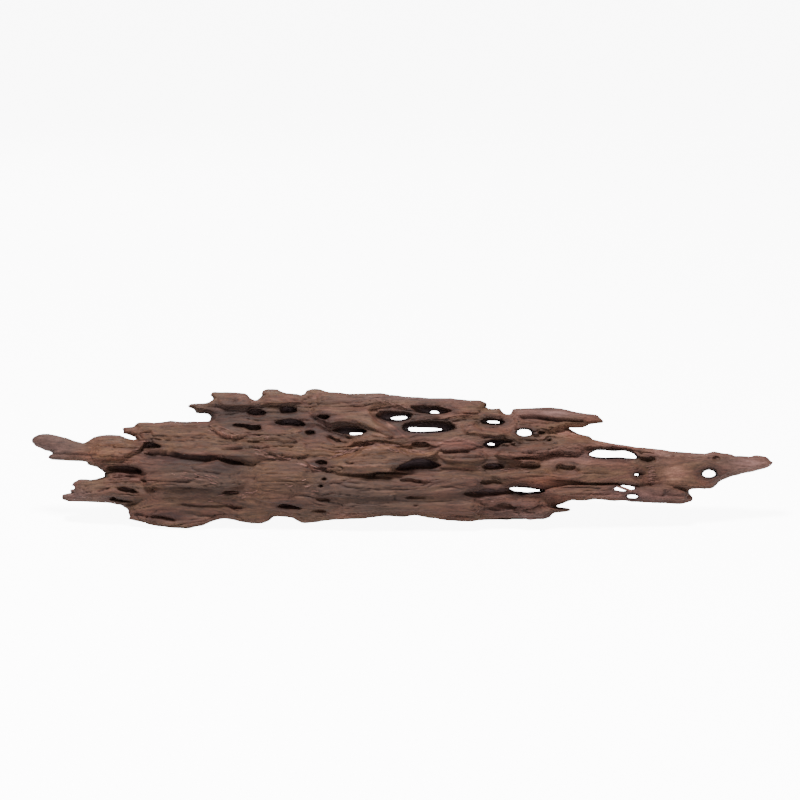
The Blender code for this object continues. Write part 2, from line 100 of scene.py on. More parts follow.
# %% Planks through the thickness
THROUGH = {
    "heart": (
        [(-200, 58), (-186, 76), (-150, 82), (-112, 90), (-60, 99), (0, 100), (40, 99), (75, 91),
         (110, 82), (150, 68), (180, 60), (192, 50), (190, 40), (150, 28), (120, 18), (90, 13),
         (40, 11), (-30, 13), (-80, 9), (-140, 12), (-185, 14), (-208, 30), (-212, 46)],
        -4, -4, 14, 0.5),
    "upper left finger": (
        [(-296.5, 69.5), (-296.5, 72), (-294.5, 74), (-290, 75.5), (-283, 76), (-275, 74.5),
         (-268, 73), (-262, 70.5), (-254.5, 68.5), (-251.5, 70), (-246.5, 73.5), (-242, 75),
         (-235, 75.5), (-225, 75), (-221, 72), (-213, 71), (-190, 73), (-150, 72), (-120, 64),
         (-125, 50), (-180, 48.5), (-212, 48), (-222, 47), (-230, 46.5), (-238, 45.5),
         (-240, 47.5), (-244.5, 50), (-252, 52), (-249.5, 53.5), (-257.5, 54.5), (-270, 55),
         (-281, 55.5), (-283, 57), (-281.5, 59), (-279, 60), (-280, 61.5), (-286, 63),
         (-293, 66.5)],
        1, 0, 8, 0.4),
    "lower left finger": (
        [(-266, 22), (-272, 24), (-271.5, 27.5), (-264, 28.6), (-258.5, 28.9), (-264.5, 29.8),
         (-264.5, 31.2), (-256, 32.8), (-264, 35), (-262.5, 37.5), (-258, 39.5), (-248.5, 39),
         (-242, 40.5), (-236.5, 42), (-238, 44.5), (-228, 47), (-200, 49), (-176, 46),
         (-170, 30), (-180, 23), (-212, 20.5), (-224, 19.5), (-234, 21), (-256.5, 22)],
        0, 2, 7, 0.4),
    "shoulder": (
        [(-223.5, 76.5), (-223.5, 79.5), (-222.5, 81.5), (-217, 82), (-212, 81.5), (-213, 84),
         (-211, 85.5), (-202.5, 85.5), (-195.5, 84), (-192, 85.5), (-185, 86.5), (-174, 85.5),
         (-163, 85.5), (-152.5, 86), (-120, 87), (-80, 84), (-58, 80), (-56, 62), (-80, 54),
         (-120, 51), (-150, 55), (-180, 60), (-205, 66), (-213, 71), (-214, 74), (-220, 76)],
        2, -4, 7, 0.45),
    "top left spike": (
        [(-152.5, 86), (-152.5, 89), (-154.5, 92), (-158.5, 93), (-165, 92.5), (-166, 96),
         (-171, 97.5), (-171.5, 98.5), (-169, 100), (-154.5, 100.5), (-152.5, 102),
         (-150.5, 105), (-153.5, 107.5), (-153.5, 109), (-151.5, 110), (-125.5, 108.5),
         (-122, 105.5), (-118.5, 103), (-116, 103), (-112.5, 106), (-111, 110.5), (-107, 112),
         (-99, 111.5), (-97, 110), (-92, 108.5), (-84, 108), (-82, 106.5), (-78, 107.5),
         (-76.5, 110.5), (-72.5, 112), (-66.5, 112), (-60, 110), (-50, 100), (-60, 80),
         (-110, 78), (-148, 80)],
        0, 1, 7, 0.4),
    "top edge": (
        [(-66, 111), (-60, 110), (-45, 108.5), (-16, 108.5), (-6.5, 106.5), (5.5, 105.5),
         (21, 104.5), (39, 104.5), (47.5, 103.5), (62, 102.8), (65, 101.8), (68.5, 100),
         (66.5, 97), (72, 96), (79, 96.6), (80, 93.6), (83, 91.6), (88.5, 91.4), (112, 84),
         (114, 66), (40, 60), (-20, 64), (-85, 86)],
        1, -2, 8, 0.42),
    "right blade": (
        [(88.2, 96.3), (95, 96.2), (110.5, 96.8), (119, 97.5), (128.5, 96.5), (139.5, 93.5),
         (156, 91.5), (158.5, 88.5), (162.5, 86), (161, 84.8), (150, 84), (145, 81.5),
         (139.5, 81), (131, 81.5), (124, 78), (110, 72), (90, 74), (84, 84), (87, 92)],
        2, 1, 6, 0.4),
    "right finger": (
        [(80, 88), (100, 84), (118, 82), (131, 80.5), (135.5, 79), (139.5, 76.5), (150, 74),
         (154.5, 70.5), (163, 69.5), (168, 67.5), (185.5, 65.5), (197, 64.5), (206, 64),
         (215.5, 62), (243, 60), (250, 62), (256.5, 60.5), (264.5, 59.5), (267.5, 57), (276, 57),
         (283, 59.3), (291, 58), (296.3, 53.5), (296, 51), (292, 49), (281, 46), (273.5, 45),
         (264.5, 42.5), (255.5, 39.5), (247, 32), (238, 32.5), (229, 31.5), (200, 30), (150, 30),
         (110, 28), (70, 30), (60, 60)],
        0, 0, 8, 0.4),
    "right lower plank": (
        [(60, 30), (110, 36), (170, 38), (210, 36), (229, 31.5), (231.5, 25.5), (232, 22.5),
         (223.5, 20), (215.5, 20.5), (188, 21.5), (176, 23), (170, 22.5), (156, 24), (150, 23.5),
         (143.5, 22.5), (134.5, 23.5), (132, 25), (127, 25.2), (122.5, 24), (119.8, 21.5),
         (120.5, 18.6), (124.5, 17.5), (132.5, 16.8), (135.5, 15.5), (132, 14), (119, 13),
         (118.8, 9.6), (113, 8), (101, 7.5), (93.5, 9), (78, 9), (62.5, 7), (52.5, 6), (37, 7),
         (30, 20)],
        -2, 0, 7, 0.4),
    "bottom band": (
        [(-195, 42), (-100, 50), (0, 46), (60, 40), (66, 9), (62.5, 7), (52.5, 6), (37, 7),
         (22, 9), (11.5, 11), (1.5, 10), (-14, 10.5), (-29, 8.5), (-55, 7.5), (-70.5, 5.5),
         (-78.5, 4.5), (-82.5, 6), (-88, 9), (-96, 10.5), (-104, 10), (-107, 6.5), (-112.5, 4.5),
         (-120.5, 4.5), (-131.5, 6.5), (-142, 8.5), (-150, 7), (-159, 3), (-171, 0), (-183, 0.5),
         (-199.5, 3), (-210.5, 6), (-219.5, 8), (-217, 10), (-219, 12), (-219, 15.5), (-224, 19),
         (-214, 21), (-205, 30)],
        0, 0, 8, 0.42),
}

PLANK_ENDS = {
    "shoulder": (0.1, 50), "top left spike": (0.1, 30), "top edge": (24, 30),
    "upper left finger": (0.1, 60), "lower left finger": (0.1, 40), "right finger": (80, 0.1),
    "right lower plank": (60, 0.1), "right blade": (10, 0.1),
}

# %% [markdown]
# ## Ledges on the front and on the back
# Weather has peeled the wood in layers. A layer that is left stands out as a ledge, and it could be
# carved out of a thicker block. Here each ledge is added, as a thin plank on one face, because its edge
# then stays sharp. It has an outline, how far it stands out and how wide its rim is, and ENDS tells over
# how many mm its left and right ends sink into the wood. Two blunt feet behind help to carry it.

# %% Ledges
FRONT_LEDGES = {
    "flap": (
        [(-254, 60), (-250, 68), (-240, 73), (-226, 74), (-214, 71), (-206, 70), (-206.5, 67),
         (-209, 64), (-214.5, 62), (-218.5, 59.5), (-226, 57), (-245, 56)], 6, 2),
    "shoulder plank": (
        [(-210, 84), (-190, 85.5), (-150, 86), (-148, 78), (-141, 73), (-143, 66), (-147, 59),
         (-157, 58.5), (-168, 59), (-177.5, 60), (-188.5, 62.5), (-195.5, 63), (-191, 65.5),
         (-200, 70), (-207, 73)], 4, 4),
    "lower left plank": (
        [(-238, 46), (-232, 51.5), (-222, 53), (-212, 59), (-202.5, 57), (-192.5, 55.5),
         (-181.5, 53.5), (-172, 52.5), (-162.5, 53.5), (-154, 54.5), (-147, 56), (-137, 51),
         (-122, 50), (-114, 44), (-125, 36), (-147, 32), (-175, 33.5), (-206, 34), (-208, 40),
         (-207.5, 47), (-212, 49.5), (-220, 51), (-230, 51)], 5, 1.2),
    "lower left finger": (
        [(-262, 25), (-262, 36), (-236, 40), (-214, 41), (-207, 36), (-208, 28), (-212, 25),
         (-230, 25)], 2, 3),
    "bottom lip": (
        [(-216, 10), (-198, 11.5), (-188, 10), (-180, 8), (-160, 9), (-140, 10), (-150, 8),
         (-160, 4.5), (-172, 1.5), (-184, 2), (-200, 4.5)], 3, 2),
    "tan swell": (
        [(-128, 30), (-124, 46), (-110, 56), (-90, 58), (-76, 54), (-70, 44), (-76, 32),
         (-80, 22), (-104, 21), (-118, 24)], 3, 6),
    "ridge": (
        [(-66, 50), (-62, 55), (-57.5, 56.5), (-47.5, 58.5), (-41, 59.5), (-34, 64.5),
         (-28.5, 68), (-17.5, 68.5), (-9, 68), (-1, 65.5), (4.5, 61.5), (11.5, 59.5), (19, 59.5),
         (15, 56.5), (8, 54), (-1, 51.5), (-6, 47.5), (-4, 45.5), (-20, 45.5), (-28, 44.5),
         (-50, 44), (-60, 47)], 6, 1.5),
    "lip under the reddish eye": (
        [(4, 61), (11.5, 60.5), (18.5, 60.5), (24, 63), (28, 66), (30, 62), (22, 57.5), (10, 57)], 5, 1.2),
    "upper ridge": (
        [(-46, 66), (-34, 73.5), (-20, 76), (-6, 73), (4, 71), (6, 67), (-4, 68.5), (-20, 70.5),
         (-32, 69)], 4, 1.5),
    "facet": (
        [(25.5, 65), (32, 69.5), (43, 72.5), (54, 69.5), (65, 66), (57, 64), (46, 63), (32, 63)], 5, 2.5),
    "plank under the facet": (
        [(22, 61), (46, 62), (64, 63.5), (70, 58), (66, 54), (52, 53), (36, 54)], 2, 1.5),
    "middle band": (
        [(-78, 38), (-62, 42), (-50, 43.3), (-20, 44), (4, 43.5), (30, 44), (64, 41), (74, 38),
         (60, 34), (50, 29), (24, 26.5), (-10, 26.5), (-50, 26), (-70, 27)], 3, 1.5),
    "low band": (
        [(-56, 21), (-40, 24.5), (0, 24), (40, 24), (56, 23), (66, 18), (58, 12.5), (30, 13),
         (0, 15), (-30, 13.5), (-52, 12)], 3, 2),
    "upper right plank": (
        [(73.5, 59), (79, 64), (87.5, 66), (101, 67), (112, 69), (130, 71), (148, 67), (154, 65),
         (146, 60.5), (134.5, 61.5), (122, 62.5), (112.5, 59.5), (104, 58), (92, 57.5),
         (80.5, 57.5)], 5, 1.5),
    "step below it": (
        [(88, 56), (104, 57), (110, 55), (114, 51), (108, 52.5), (96, 53)], 4, 1.2),
    "right plank": (
        [(70, 43), (84, 46), (94, 48), (105, 48), (113, 50), (120.5, 46), (127, 45),
         (134.5, 44.5), (139.5, 46), (140, 51.5), (152, 57), (163.5, 56), (171.5, 57),
         (182.5, 54.5), (190, 53.5), (197, 54), (201, 51.5), (199, 47.5), (201.5, 43.5),
         (198.5, 40.5), (200.5, 38), (197, 35), (182.5, 35.5), (171.5, 37), (160.5, 37),
         (149.5, 37), (135.5, 39), (119, 40), (100, 38), (84, 38)], 4, 1.5),
    "right arm": (
        [(112, 71), (130, 74), (146, 73), (165, 69), (190, 65), (208, 62.5), (206, 60.5),
         (190, 62.5), (176, 65), (164, 65.5), (152, 65.5), (140, 66), (126, 68)], 4, 2),
    "right end": (
        [(203, 42), (204, 50), (206, 57), (216, 60), (240, 59.5), (262, 58.5), (286, 58),
         (291, 53), (280, 49), (262, 45.5), (250, 38), (242, 34), (226, 33), (206, 34.5)], 1.5, 3),
    "blade upper": (
        [(92, 91.5), (108, 91), (122, 88.5), (135.5, 87.5), (149.5, 86.5), (157, 88),
         (150, 90.5), (139, 93), (128, 96), (110, 95.5), (95, 94.5)], 4, 3),
    "blade lower": (
        [(88, 88), (110, 88), (122, 86.5), (128, 85.5), (111, 85.5), (92, 85.5)], 3, 1),
    "top left plate": (
        [(-170, 98), (-161, 100), (-152.5, 100.5), (-140.5, 99), (-125, 98.5), (-110, 100),
         (-98, 100.5), (-80, 101), (-72, 108), (-84, 107), (-99, 110), (-107, 110.5),
         (-112, 105), (-117, 102), (-125, 107), (-151, 108), (-150, 104), (-154, 101.5)], 4, 3),
    "top middle plate": (
        [(-46, 105), (-10, 104.5), (20, 102.5), (60, 101), (63, 98.5), (40, 100), (8, 101),
         (-14, 104), (-24, 102), (-44, 99)], 4, 2),
    "left rim of the bowl": (
        [(-78, 92), (-74, 100), (-50, 99), (-28, 101), (-23, 99), (-22, 95), (-18, 87), (-9, 82),
         (0, 75), (-8, 73.5), (-20, 78), (-27, 81), (-34, 84), (-46, 85), (-58, 84), (-66, 88)], 5, 2),
    "tube": (
        [(8, 92), (18.5, 90.3), (26.5, 89.3), (36.5, 92), (50, 94.5), (66, 93), (84, 90),
         (84, 86.5), (70, 90.5), (46, 90.5), (38, 88.5), (26.5, 86.8), (12, 87)], 5, 1.5),
    "right of the long hole": (
        [(42, 84), (46, 88), (60, 88), (62, 84), (66, 82), (80, 81), (90, 78), (88, 74),
         (76, 73.5), (56, 76), (44, 78)], 4, 2),
    "low right lip": (
        [(90, 10), (88, 20), (96, 25), (108, 24), (114, 18.5), (127, 15.6), (116, 13.4),
         (112, 9.5)], 3, 3),
    "low right plank": (
        [(100, 27), (118, 33), (134, 36), (176, 36), (197, 34.6), (214, 34), (228, 30),
         (229, 23), (200, 23), (160, 25.5), (136, 26.5), (120, 28)], 5, 0.5),
}
ENDS = {
    "flap": (14, 0.6), "shoulder plank": (12, 26), "ridge": (34, 12), "lip under the reddish eye": (3, 3),
    "upper ridge": (20, 8), "facet": (6, 14), "upper right plank": (2, 16), "step below it": (5, 5),
    "plank under the facet": (26, 12),
    "right plank": (20, 18), "top left plate": (4, 20), "left rim of the bowl": (22, 8), "tube": (8, 14),
    "tan swell": (18, 18), "middle band": (26, 20), "lower left plank": (20, 26), "bottom lip": (8, 20),
    "blade upper": (12, 6), "blade lower": (12, 6), "low right lip": (14, 4), "low right plank": (30, 4),
}
BACK_LEDGES = [
    ([(-230, 60), (-190, 70), (-100, 74), (0, 72), (70, 64), (50, 54), (-60, 50), (-180, 50)], 7, 6),
    ([(-170, 22), (-120, 36), (-20, 40), (60, 34), (110, 24), (40, 14), (-90, 12)], 6, 6),
    ([(40, 50), (90, 60), (170, 56), (240, 50), (262, 48), (200, 40), (110, 40)], 6, 5),
    ([(-130, 92), (-80, 100), (0, 98), (60, 92), (96, 86), (40, 84), (-60, 84)], 5, 5),
    ([(-215, 34), (-180, 42), (-130, 44), (-110, 38), (-150, 30), (-200, 26)], 5, 5),
    ([(-60, 76), (-30, 83), (30, 82), (70, 76), (20, 73)], 5, 4),
    ([(-120, 44), (-90, 50), (-20, 49), (10, 44), (-60, 41)], 5, 4),
    ([(20, 42), (60, 48), (110, 46), (130, 38), (70, 36)], 5, 4),
]
FEET = [
    ([(-78, 20), (-60, 34), (-30, 38), (4, 32), (14, 20), (-8, 11), (-30, 10), (-58, 12)], -12, -37),
    ([(44, 16), (56, 26), (84, 28), (108, 22), (112, 12), (100, 8), (76, 7.5), (54, 7)], -2, -22),
]
print("planks", len(THROUGH), "ledges", len(FRONT_LEDGES) + len(BACK_LEDGES))

# %% [markdown]
# ## The holes that go through
# Borers made these holes and water widened them. A hole has a wide mouth in front and a narrower neck
# inside. Each of the two is an outline, because the light that falls through shows the shape of the neck.

# %% Holes through the wood
THROUGH_HOLES = {
    "bowl": (
        [(-21, 91), (-18, 94), (-8, 94.5), (2, 94), (9, 92), (7, 88), (3, 85.8), (-6.5, 84.8),
         (-14, 85.8), (-19, 88)],
        [(-10.3, 88.3), (-7, 89.6), (-1, 90.3), (4.2, 90.3), (4, 88.8), (0, 87.3), (-5, 87.1)]),
    "upper eye": (
        [(5.5, 98.8), (18.5, 99), (29.5, 98.2), (41, 94.5), (33, 92), (22.5, 91.6), (13, 93),
         (7.5, 96)],
        [(22, 93.5), (24.5, 94.8), (28.5, 94.4), (29.5, 93), (28, 91.8), (26.5, 92.6), (24, 92.2)]),
    "long hole": (
        [(-1, 81), (2, 84.5), (8, 86.6), (16, 87.2), (28, 87.4), (37, 86.8), (42, 84),
         (43.5, 80), (36.5, 77), (22.5, 76), (7.5, 76.2), (1.5, 78)],
        [(4.5, 79.8), (6, 81.6), (16, 81.5), (26, 80.9), (32, 80.5), (37, 80.0), (37, 79.6),
         (32, 78.9), (24, 78.2), (13, 77.7), (6.5, 78)]),
    "half closed lens": (
        [(-59, 79), (-53, 81.5), (-46.5, 83), (-38, 83), (-31, 80.5), (-27, 78), (-32.5, 75.5),
         (-41, 75), (-50.5, 76.5)],
        [(-45, 76.2), (-42, 77.2), (-36, 77.2), (-29.5, 76.9), (-29, 75.4), (-33, 75.2),
         (-40, 75.1)]),
    "slit on the right": (
        [(61.5, 87), (68, 88.5), (77.5, 88), (83, 86), (80.5, 83), (72, 82.5), (64, 84)],
        [(67, 85.9), (68.5, 86.7), (75, 86.7), (80, 85.6), (77.5, 84.4), (70.5, 84.7)]),
    "round hole": (
        [(90.5, 77), (92, 80), (97, 81.5), (102.5, 81), (105.5, 78), (105, 75), (99.5, 73),
         (93, 74)],
        [(92, 76.5), (93, 79), (96, 80.2), (101.5, 79.8), (104, 77), (103, 74.8), (97, 74.2),
         (93, 75)]),
    "ragged hole": (
        [(64.5, 68), (72, 72), (83, 72), (93.5, 70), (87.5, 69), (79.5, 68), (77.5, 64.5),
         (70.5, 64), (66, 65.5)],
        [(67, 68), (69, 68.6), (70.5, 69), (74, 68.6), (74.5, 67), (72, 66.3), (69, 67.4)]),
    "cave opening": (
        [(84, 31.5), (88.5, 34), (98.5, 34.6), (109.5, 33), (116, 30.2), (109.5, 28), (94, 27)],
        [(85, 32.8), (92, 33.6), (101, 32.8), (110, 31.6), (114.5, 30.4), (106, 29.7),
         (98.5, 29.4), (90, 30.4)]),
    "gap in the lower finger": (
        [(-235, 24.6), (-231.5, 26), (-228, 24.8), (-231, 23.2)],
        [(-233.6, 24.6), (-231.4, 25.5), (-229, 24.7), (-231, 23.8)]),
    "slot": (
        [(148, 59.5), (153.5, 64), (163.5, 64.5), (177, 64.5), (186.5, 61.5), (190.5, 56),
         (182.5, 55), (163.5, 55.5), (152.5, 56.5)],
        [(149, 59.5), (155, 63.2), (163.5, 63.2), (169.5, 62.2), (177, 63.1), (185, 60.5),
         (189, 56), (171.5, 57.3), (163.5, 56.8), (153.5, 57.8)]),
    "pinhole": (
        [(185, 43.5), (187, 45.8), (190.5, 45), (190.5, 42.4), (187.5, 41.4)],
        [(185.8, 43.5), (187.3, 45), (189.4, 44), (189.4, 42.8), (187.3, 42.2)]),
    "hole with a splinter": (
        [(168.5, 32), (173, 34.6), (177, 35.8), (184.5, 34.8), (188, 32.2), (181, 30.2),
         (176, 29.6), (171, 30.2)],
        [(169, 32), (173, 34.1), (177, 35.2), (184.2, 34.3), (187.3, 32.2), (181, 30.9),
         (177, 30.1), (171.5, 30.7)]),
    "low hole": (
        [(178.5, 27), (182.5, 29), (188, 28.5), (190, 25.5), (186.5, 23.5), (181, 24)],
        [(179.7, 26.5), (182.5, 27.8), (188, 27.2), (189.2, 25.6), (186.5, 24.2), (181, 24.7)]),
    "hole near the tip": (
        [(238.5, 44), (240.5, 47.5), (246, 49), (251.5, 47.5), (253, 42.5), (248.5, 40),
         (242, 40.5)],
        [(240, 44), (242, 46.7), (246, 47.7), (250.2, 46.2), (251.2, 43), (248, 40.9),
         (242.5, 41.3)]),
}
print("holes through", len(THROUGH_HOLES))

# %% [markdown]
# ## The hollows that end inside
# Each is the mouth of a bore or of a rotten streak, given by its outline and its depth. Those behind
# aren't drawn. They are strewn by chance later, because no one of them matters.

# %% Hollows in the front
FRONT_HOLLOWS = {
    "notch by the flap": (
        [(-207.5, 69.5), (-200.5, 69.5), (-195.5, 68), (-191, 65.5), (-195.5, 64.5),
         (-201.5, 63.5), (-206.5, 62), (-213, 60.5), (-209, 63.5), (-206.5, 67)], 10),
    "end of the trough": (
        [(-148.5, 56.5), (-143, 57), (-137, 56), (-131.5, 54.5), (-126, 52), (-121.5, 51.2),
         (-128, 50.8), (-135, 51), (-141.5, 52.5), (-147, 55)], 8),
    "left bay": (
        [(-236, 50.5), (-230, 50.5), (-220, 50.5), (-212, 49), (-207.5, 46.5), (-209, 44),
         (-217.5, 44), (-228.5, 45), (-236, 46)], 7),
    "small one by the bay": ([(-212, 39.5), (-206.5, 39.8), (-201.5, 38), (-206.5, 37.3)], 4),
    "lower finger eye": (
        [(-228.5, 32), (-226.5, 33.5), (-222.5, 34), (-216, 32.5), (-208.5, 28.5), (-212, 28),
         (-220, 28.5), (-226.5, 30)], 8),
    "lower finger groove": (
        [(-238, 24), (-228.5, 24.5), (-220, 23), (-211.5, 21.5), (-217.5, 20.5), (-223, 21),
         (-231, 22)], 7),
    "band eye": (
        [(-145.5, 29.5), (-143, 30.5), (-139, 31), (-133.5, 30.5), (-127.5, 29), (-133.5, 28),
         (-143, 28)], 6),
    "band wedge": (
        [(-138.5, 21.5), (-136.5, 20.5), (-134, 18.3), (-127, 17.3), (-128, 15.8), (-135, 15.8),
         (-137.5, 18)], 5),
    "bottom left groove": (
        [(-204.5, 10), (-198, 11), (-188.5, 9.5), (-181, 7), (-179, 5.5), (-187, 6.5),
         (-198, 8.5)], 6),
    "first top hollow": (
        [(-124.5, 93), (-121.5, 95.5), (-117, 96.5), (-111.5, 95.5), (-108.5, 93), (-111, 90),
         (-116, 89), (-121.5, 90.5)], 12),
    "second top hollow": (
        [(-98, 97.5), (-92, 98.5), (-84, 97.5), (-83.5, 93), (-90.5, 92), (-97.5, 92.5)], 13),
    "first upper lens": (
        [(-137.5, 83), (-134, 84), (-128, 84), (-121, 83), (-113, 82.5), (-112.5, 79),
         (-116, 77.5), (-122.5, 78), (-126.5, 80.5), (-133.5, 81)], 11),
    "second upper lens": (
        [(-102.5, 85), (-97.5, 87), (-90.5, 88), (-83.5, 87.5), (-77.5, 85), (-76.5, 82.5),
         (-81, 81), (-89, 81.5), (-97.5, 82)], 14),
    "small top hollow": (
        [(-70.5, 89.5), (-64.5, 91.5), (-59, 91.5), (-57.5, 89.5), (-61.5, 87), (-65, 88)], 9),
    "small square": ([(-78.5, 78), (-75, 79), (-69.5, 78.5), (-69, 75), (-74, 74.5), (-77, 75.5)], 9),
    "wedge": ([(-61, 75), (-57.5, 74.5), (-50.5, 71), (-46.5, 69), (-52, 68.8), (-58, 70),
               (-60, 72)], 5),
    "reddish eye": (
        [(7.5, 68), (11.5, 69.5), (19, 69.5), (23, 67.3), (22, 65), (18.5, 63.6), (13, 63.5),
         (8.5, 65.5)], 6),
    "arch": (
        [(-6, 47.5), (-1, 51.8), (5, 54), (10.5, 56.5), (16, 56.8), (23, 55), (32, 51),
         (27, 48.2), (18.5, 47.8), (8.5, 48), (2, 46.6), (-4, 46.2)], 16),
    "ridge eye": ([(-70, 53), (-66.5, 55), (-61.5, 54.5), (-59, 52.5), (-61, 50.5), (-66.5, 50)], 9),
    "middle groove": (
        [(-4, 39.5), (3, 40.5), (8.5, 40.3), (15.5, 39), (28, 37.5), (18.5, 36.5), (8.5, 37),
         (0.5, 38)], 4),
    "low groove": ([(-1.5, 25.5), (4.5, 26.3), (13, 26.3), (23, 25), (14.5, 24), (4.5, 24.3)], 4),
    "dot": ([(8.5, 18.5), (11, 19.5), (13.5, 18.5), (11, 17.3)], 4),
    "upper pin": ([(-66, 39.5), (-62.5, 41.4), (-59, 39.5), (-62.5, 37.8)], 7),
    "lower pin": ([(-68, 34), (-65, 35.8), (-62, 34), (-65, 32.2)], 7),
    "olive slit": ([(-71, 23.5), (-66.5, 25), (-57.5, 24), (-58, 22), (-65.5, 21.5)], 5),
    "low lens": (
        [(-101.5, 17.5), (-98.5, 19.5), (-94, 20.5), (-89, 19.5), (-83.5, 17.8), (-77, 16),
         (-85, 15.7), (-94.5, 16.3)], 10),
    "low smear": ([(-74, 15), (-65.5, 16), (-60, 15), (-61, 12.8), (-65.5, 12.8), (-71, 13.8)], 4),
    "right eye": (
        [(63.5, 49.5), (66.5, 51.8), (73.5, 52.8), (79.5, 52), (82.5, 49.5), (79, 47), (72, 46),
         (66.5, 47)], 10),
    "right groove": ([(61, 37.3), (66.5, 39), (75, 39), (83, 36.5), (75, 35.3), (65, 35.3)], 4),
    "bumpy cave": (
        [(47, 28.5), (53, 29.5), (59, 30), (64, 32), (70.5, 32.5), (76, 31), (80.5, 33),
         (86, 32.5), (93, 29.5), (87.5, 27), (80.5, 26.5), (72, 25), (62.5, 25), (53, 26)], 9),
    "low cavity": (
        [(68.5, 14), (70, 17), (75, 19.5), (79.5, 21.5), (86, 20.5), (90, 18.5), (95, 18),
         (90, 16), (84.5, 15.5), (77.5, 14)], 5),
    "notch right of the slot": (
        [(188, 58.5), (195.5, 57.5), (202.5, 57.5), (203.5, 53.5), (200, 51.5), (195, 52.5),
         (191, 54.5)], 7),
    "plank cavity": (
        [(122.5, 50.5), (125.5, 52), (131.5, 51), (139, 50), (139, 46), (134.5, 44.5),
         (127.5, 45), (124, 47)], 6),
    "beside the pinhole": ([(190.5, 45), (196.8, 45.2), (197.3, 43), (191, 42.4)], 2.5),
    "plank groove": ([(92, 52), (101.5, 52), (109.5, 50.8), (113, 49), (105.5, 48.3), (94, 49)], 4),
    "knot": ([(248, 57), (251.5, 58.5), (255.5, 57), (254, 54.5), (250, 55.2)], 4),
    "upper fissure": ([(107.5, 78), (111, 79), (115.5, 79), (113.5, 75.5), (110, 75)], 6),
    "lower fissure": ([(115, 71.5), (119, 72.5), (120.5, 70.5), (116.5, 69.5)], 5),
}
BACK_HOLLOWS = 40
print("hollows in front", len(FRONT_HOLLOWS))

# %% [markdown]
# ## Steps in the face
# Finer forms are lines drawn along the grain. At a step, a layer has broken off below the line, and the
# face above it stands proud by the height that follows the line. A thin ledge would do the same, but a
# line is quicker to draw and keeps its edge where the ledges melt into each other.

# %% Steps
STEPS = [
    ([(-281, 61), (-262, 60.6), (-244, 59.6), (-228, 57.5), (-216, 55.4)], 1.2),
    ([(-240, 67), (-225, 68), (-212, 67)], 0.8),
    ([(-170, 98.3), (-161, 99.3), (-152.5, 99.5), (-140.5, 98.5), (-125, 98), (-106, 99)], 2.0),
    ([(-198, 81), (-176, 82.5), (-160, 82), (-147, 80.5)], 1.0),
    ([(-157, 84), (-151.4, 80.7), (-145.6, 76.3), (-139.8, 74.1), (-134, 73.4), (-123, 75.6)], 3.0),
    ([(-114, 64), (-104, 60.5), (-96, 57), (-87, 55)], 1.6),
    ([(-148, 64.5), (-143, 65.2), (-133, 65), (-120, 66.5), (-108, 65)], 1.8),
    ([(-130, 71), (-118, 70), (-104, 72), (-92, 70), (-80, 71)], 1.5),
    ([(-112, 61), (-98, 60), (-86, 57), (-76, 57)], 1.2),
    ([(-188.5, 33.9), (-174.7, 33.5), (-161, 32.6), (-147, 32.3)], 1.2),
    ([(-181, 25), (-160, 26), (-140, 25), (-124, 25)], 0.9),
    ([(-46, 64), (-34, 69.5), (-20, 71.5), (-4, 69.5)], 1.2),
    ([(-34, 44.0), (-28.5, 44.2), (-20, 45.2), (-3.5, 45.2), (5, 44.5)], 2.4),
    ([(22, 47.3), (44, 47.5), (62, 46.5)], 1.2),
    ([(26, 58.5), (40, 58), (56, 58), (70, 57)], 1.0),
    ([(-4, 40), (4.6, 40.4), (14.3, 38.6), (26.7, 37.8)], 1.0),
    ([(40, 36), (56, 34.5), (64, 34.5)], 1.0),
    ([(94, 64), (102.5, 62), (112.5, 60), (122, 62.5), (134.5, 61.5), (146, 60.8)], 1.6),
    ([(84, 54.5), (96, 54.6), (106, 53), (114, 50)], 1.6),
    ([(119, 39.5), (135.5, 38.5), (149.5, 36.7), (160.5, 36.5), (171.5, 36.7), (182.5, 35.3),
      (198, 34.6)], 1.2),
    ([(92, 91), (108, 90.5), (122, 88.2), (135.5, 87), (150, 86)], 2.4),
    ([(88, 86), (111, 86), (129, 85)], 1.4),
    ([(206, 60.5), (222, 58.5), (244, 57.5)], 1.2),
    ([(-100, 104), (-88, 103.5), (-76, 104)], 1.2),
    ([(-44, 99), (-30, 99), (-24, 101)], 1.4),
    ([(46, 93.8), (60, 92.5), (76, 90.5), (88, 88.5)], 1.4),
    ([(104, 83.5), (118, 79), (132, 75)], 1.4),
    ([(126, 66), (140, 64.5), (150, 63.5)], 1.4),
    ([(60, 13), (78, 12), (96, 11)], 1.0),
    ([(128, 27), (150, 28.5), (170, 28.5)], 1.0),
    ([(196, 29), (212, 28), (228, 27)], 1.2),
]
print("steps", len(STEPS))

# %% [markdown]
# ## Grooves and undercuts
# A groove is a crack, with half its width and its depth. An undercut lies between two lines. It slopes in
# from the upper line and steps out at the lower one. An overhung one, marked True, steps in right under
# its upper line, which throws a sharp shadow there. An undercut of negative depth swells out.

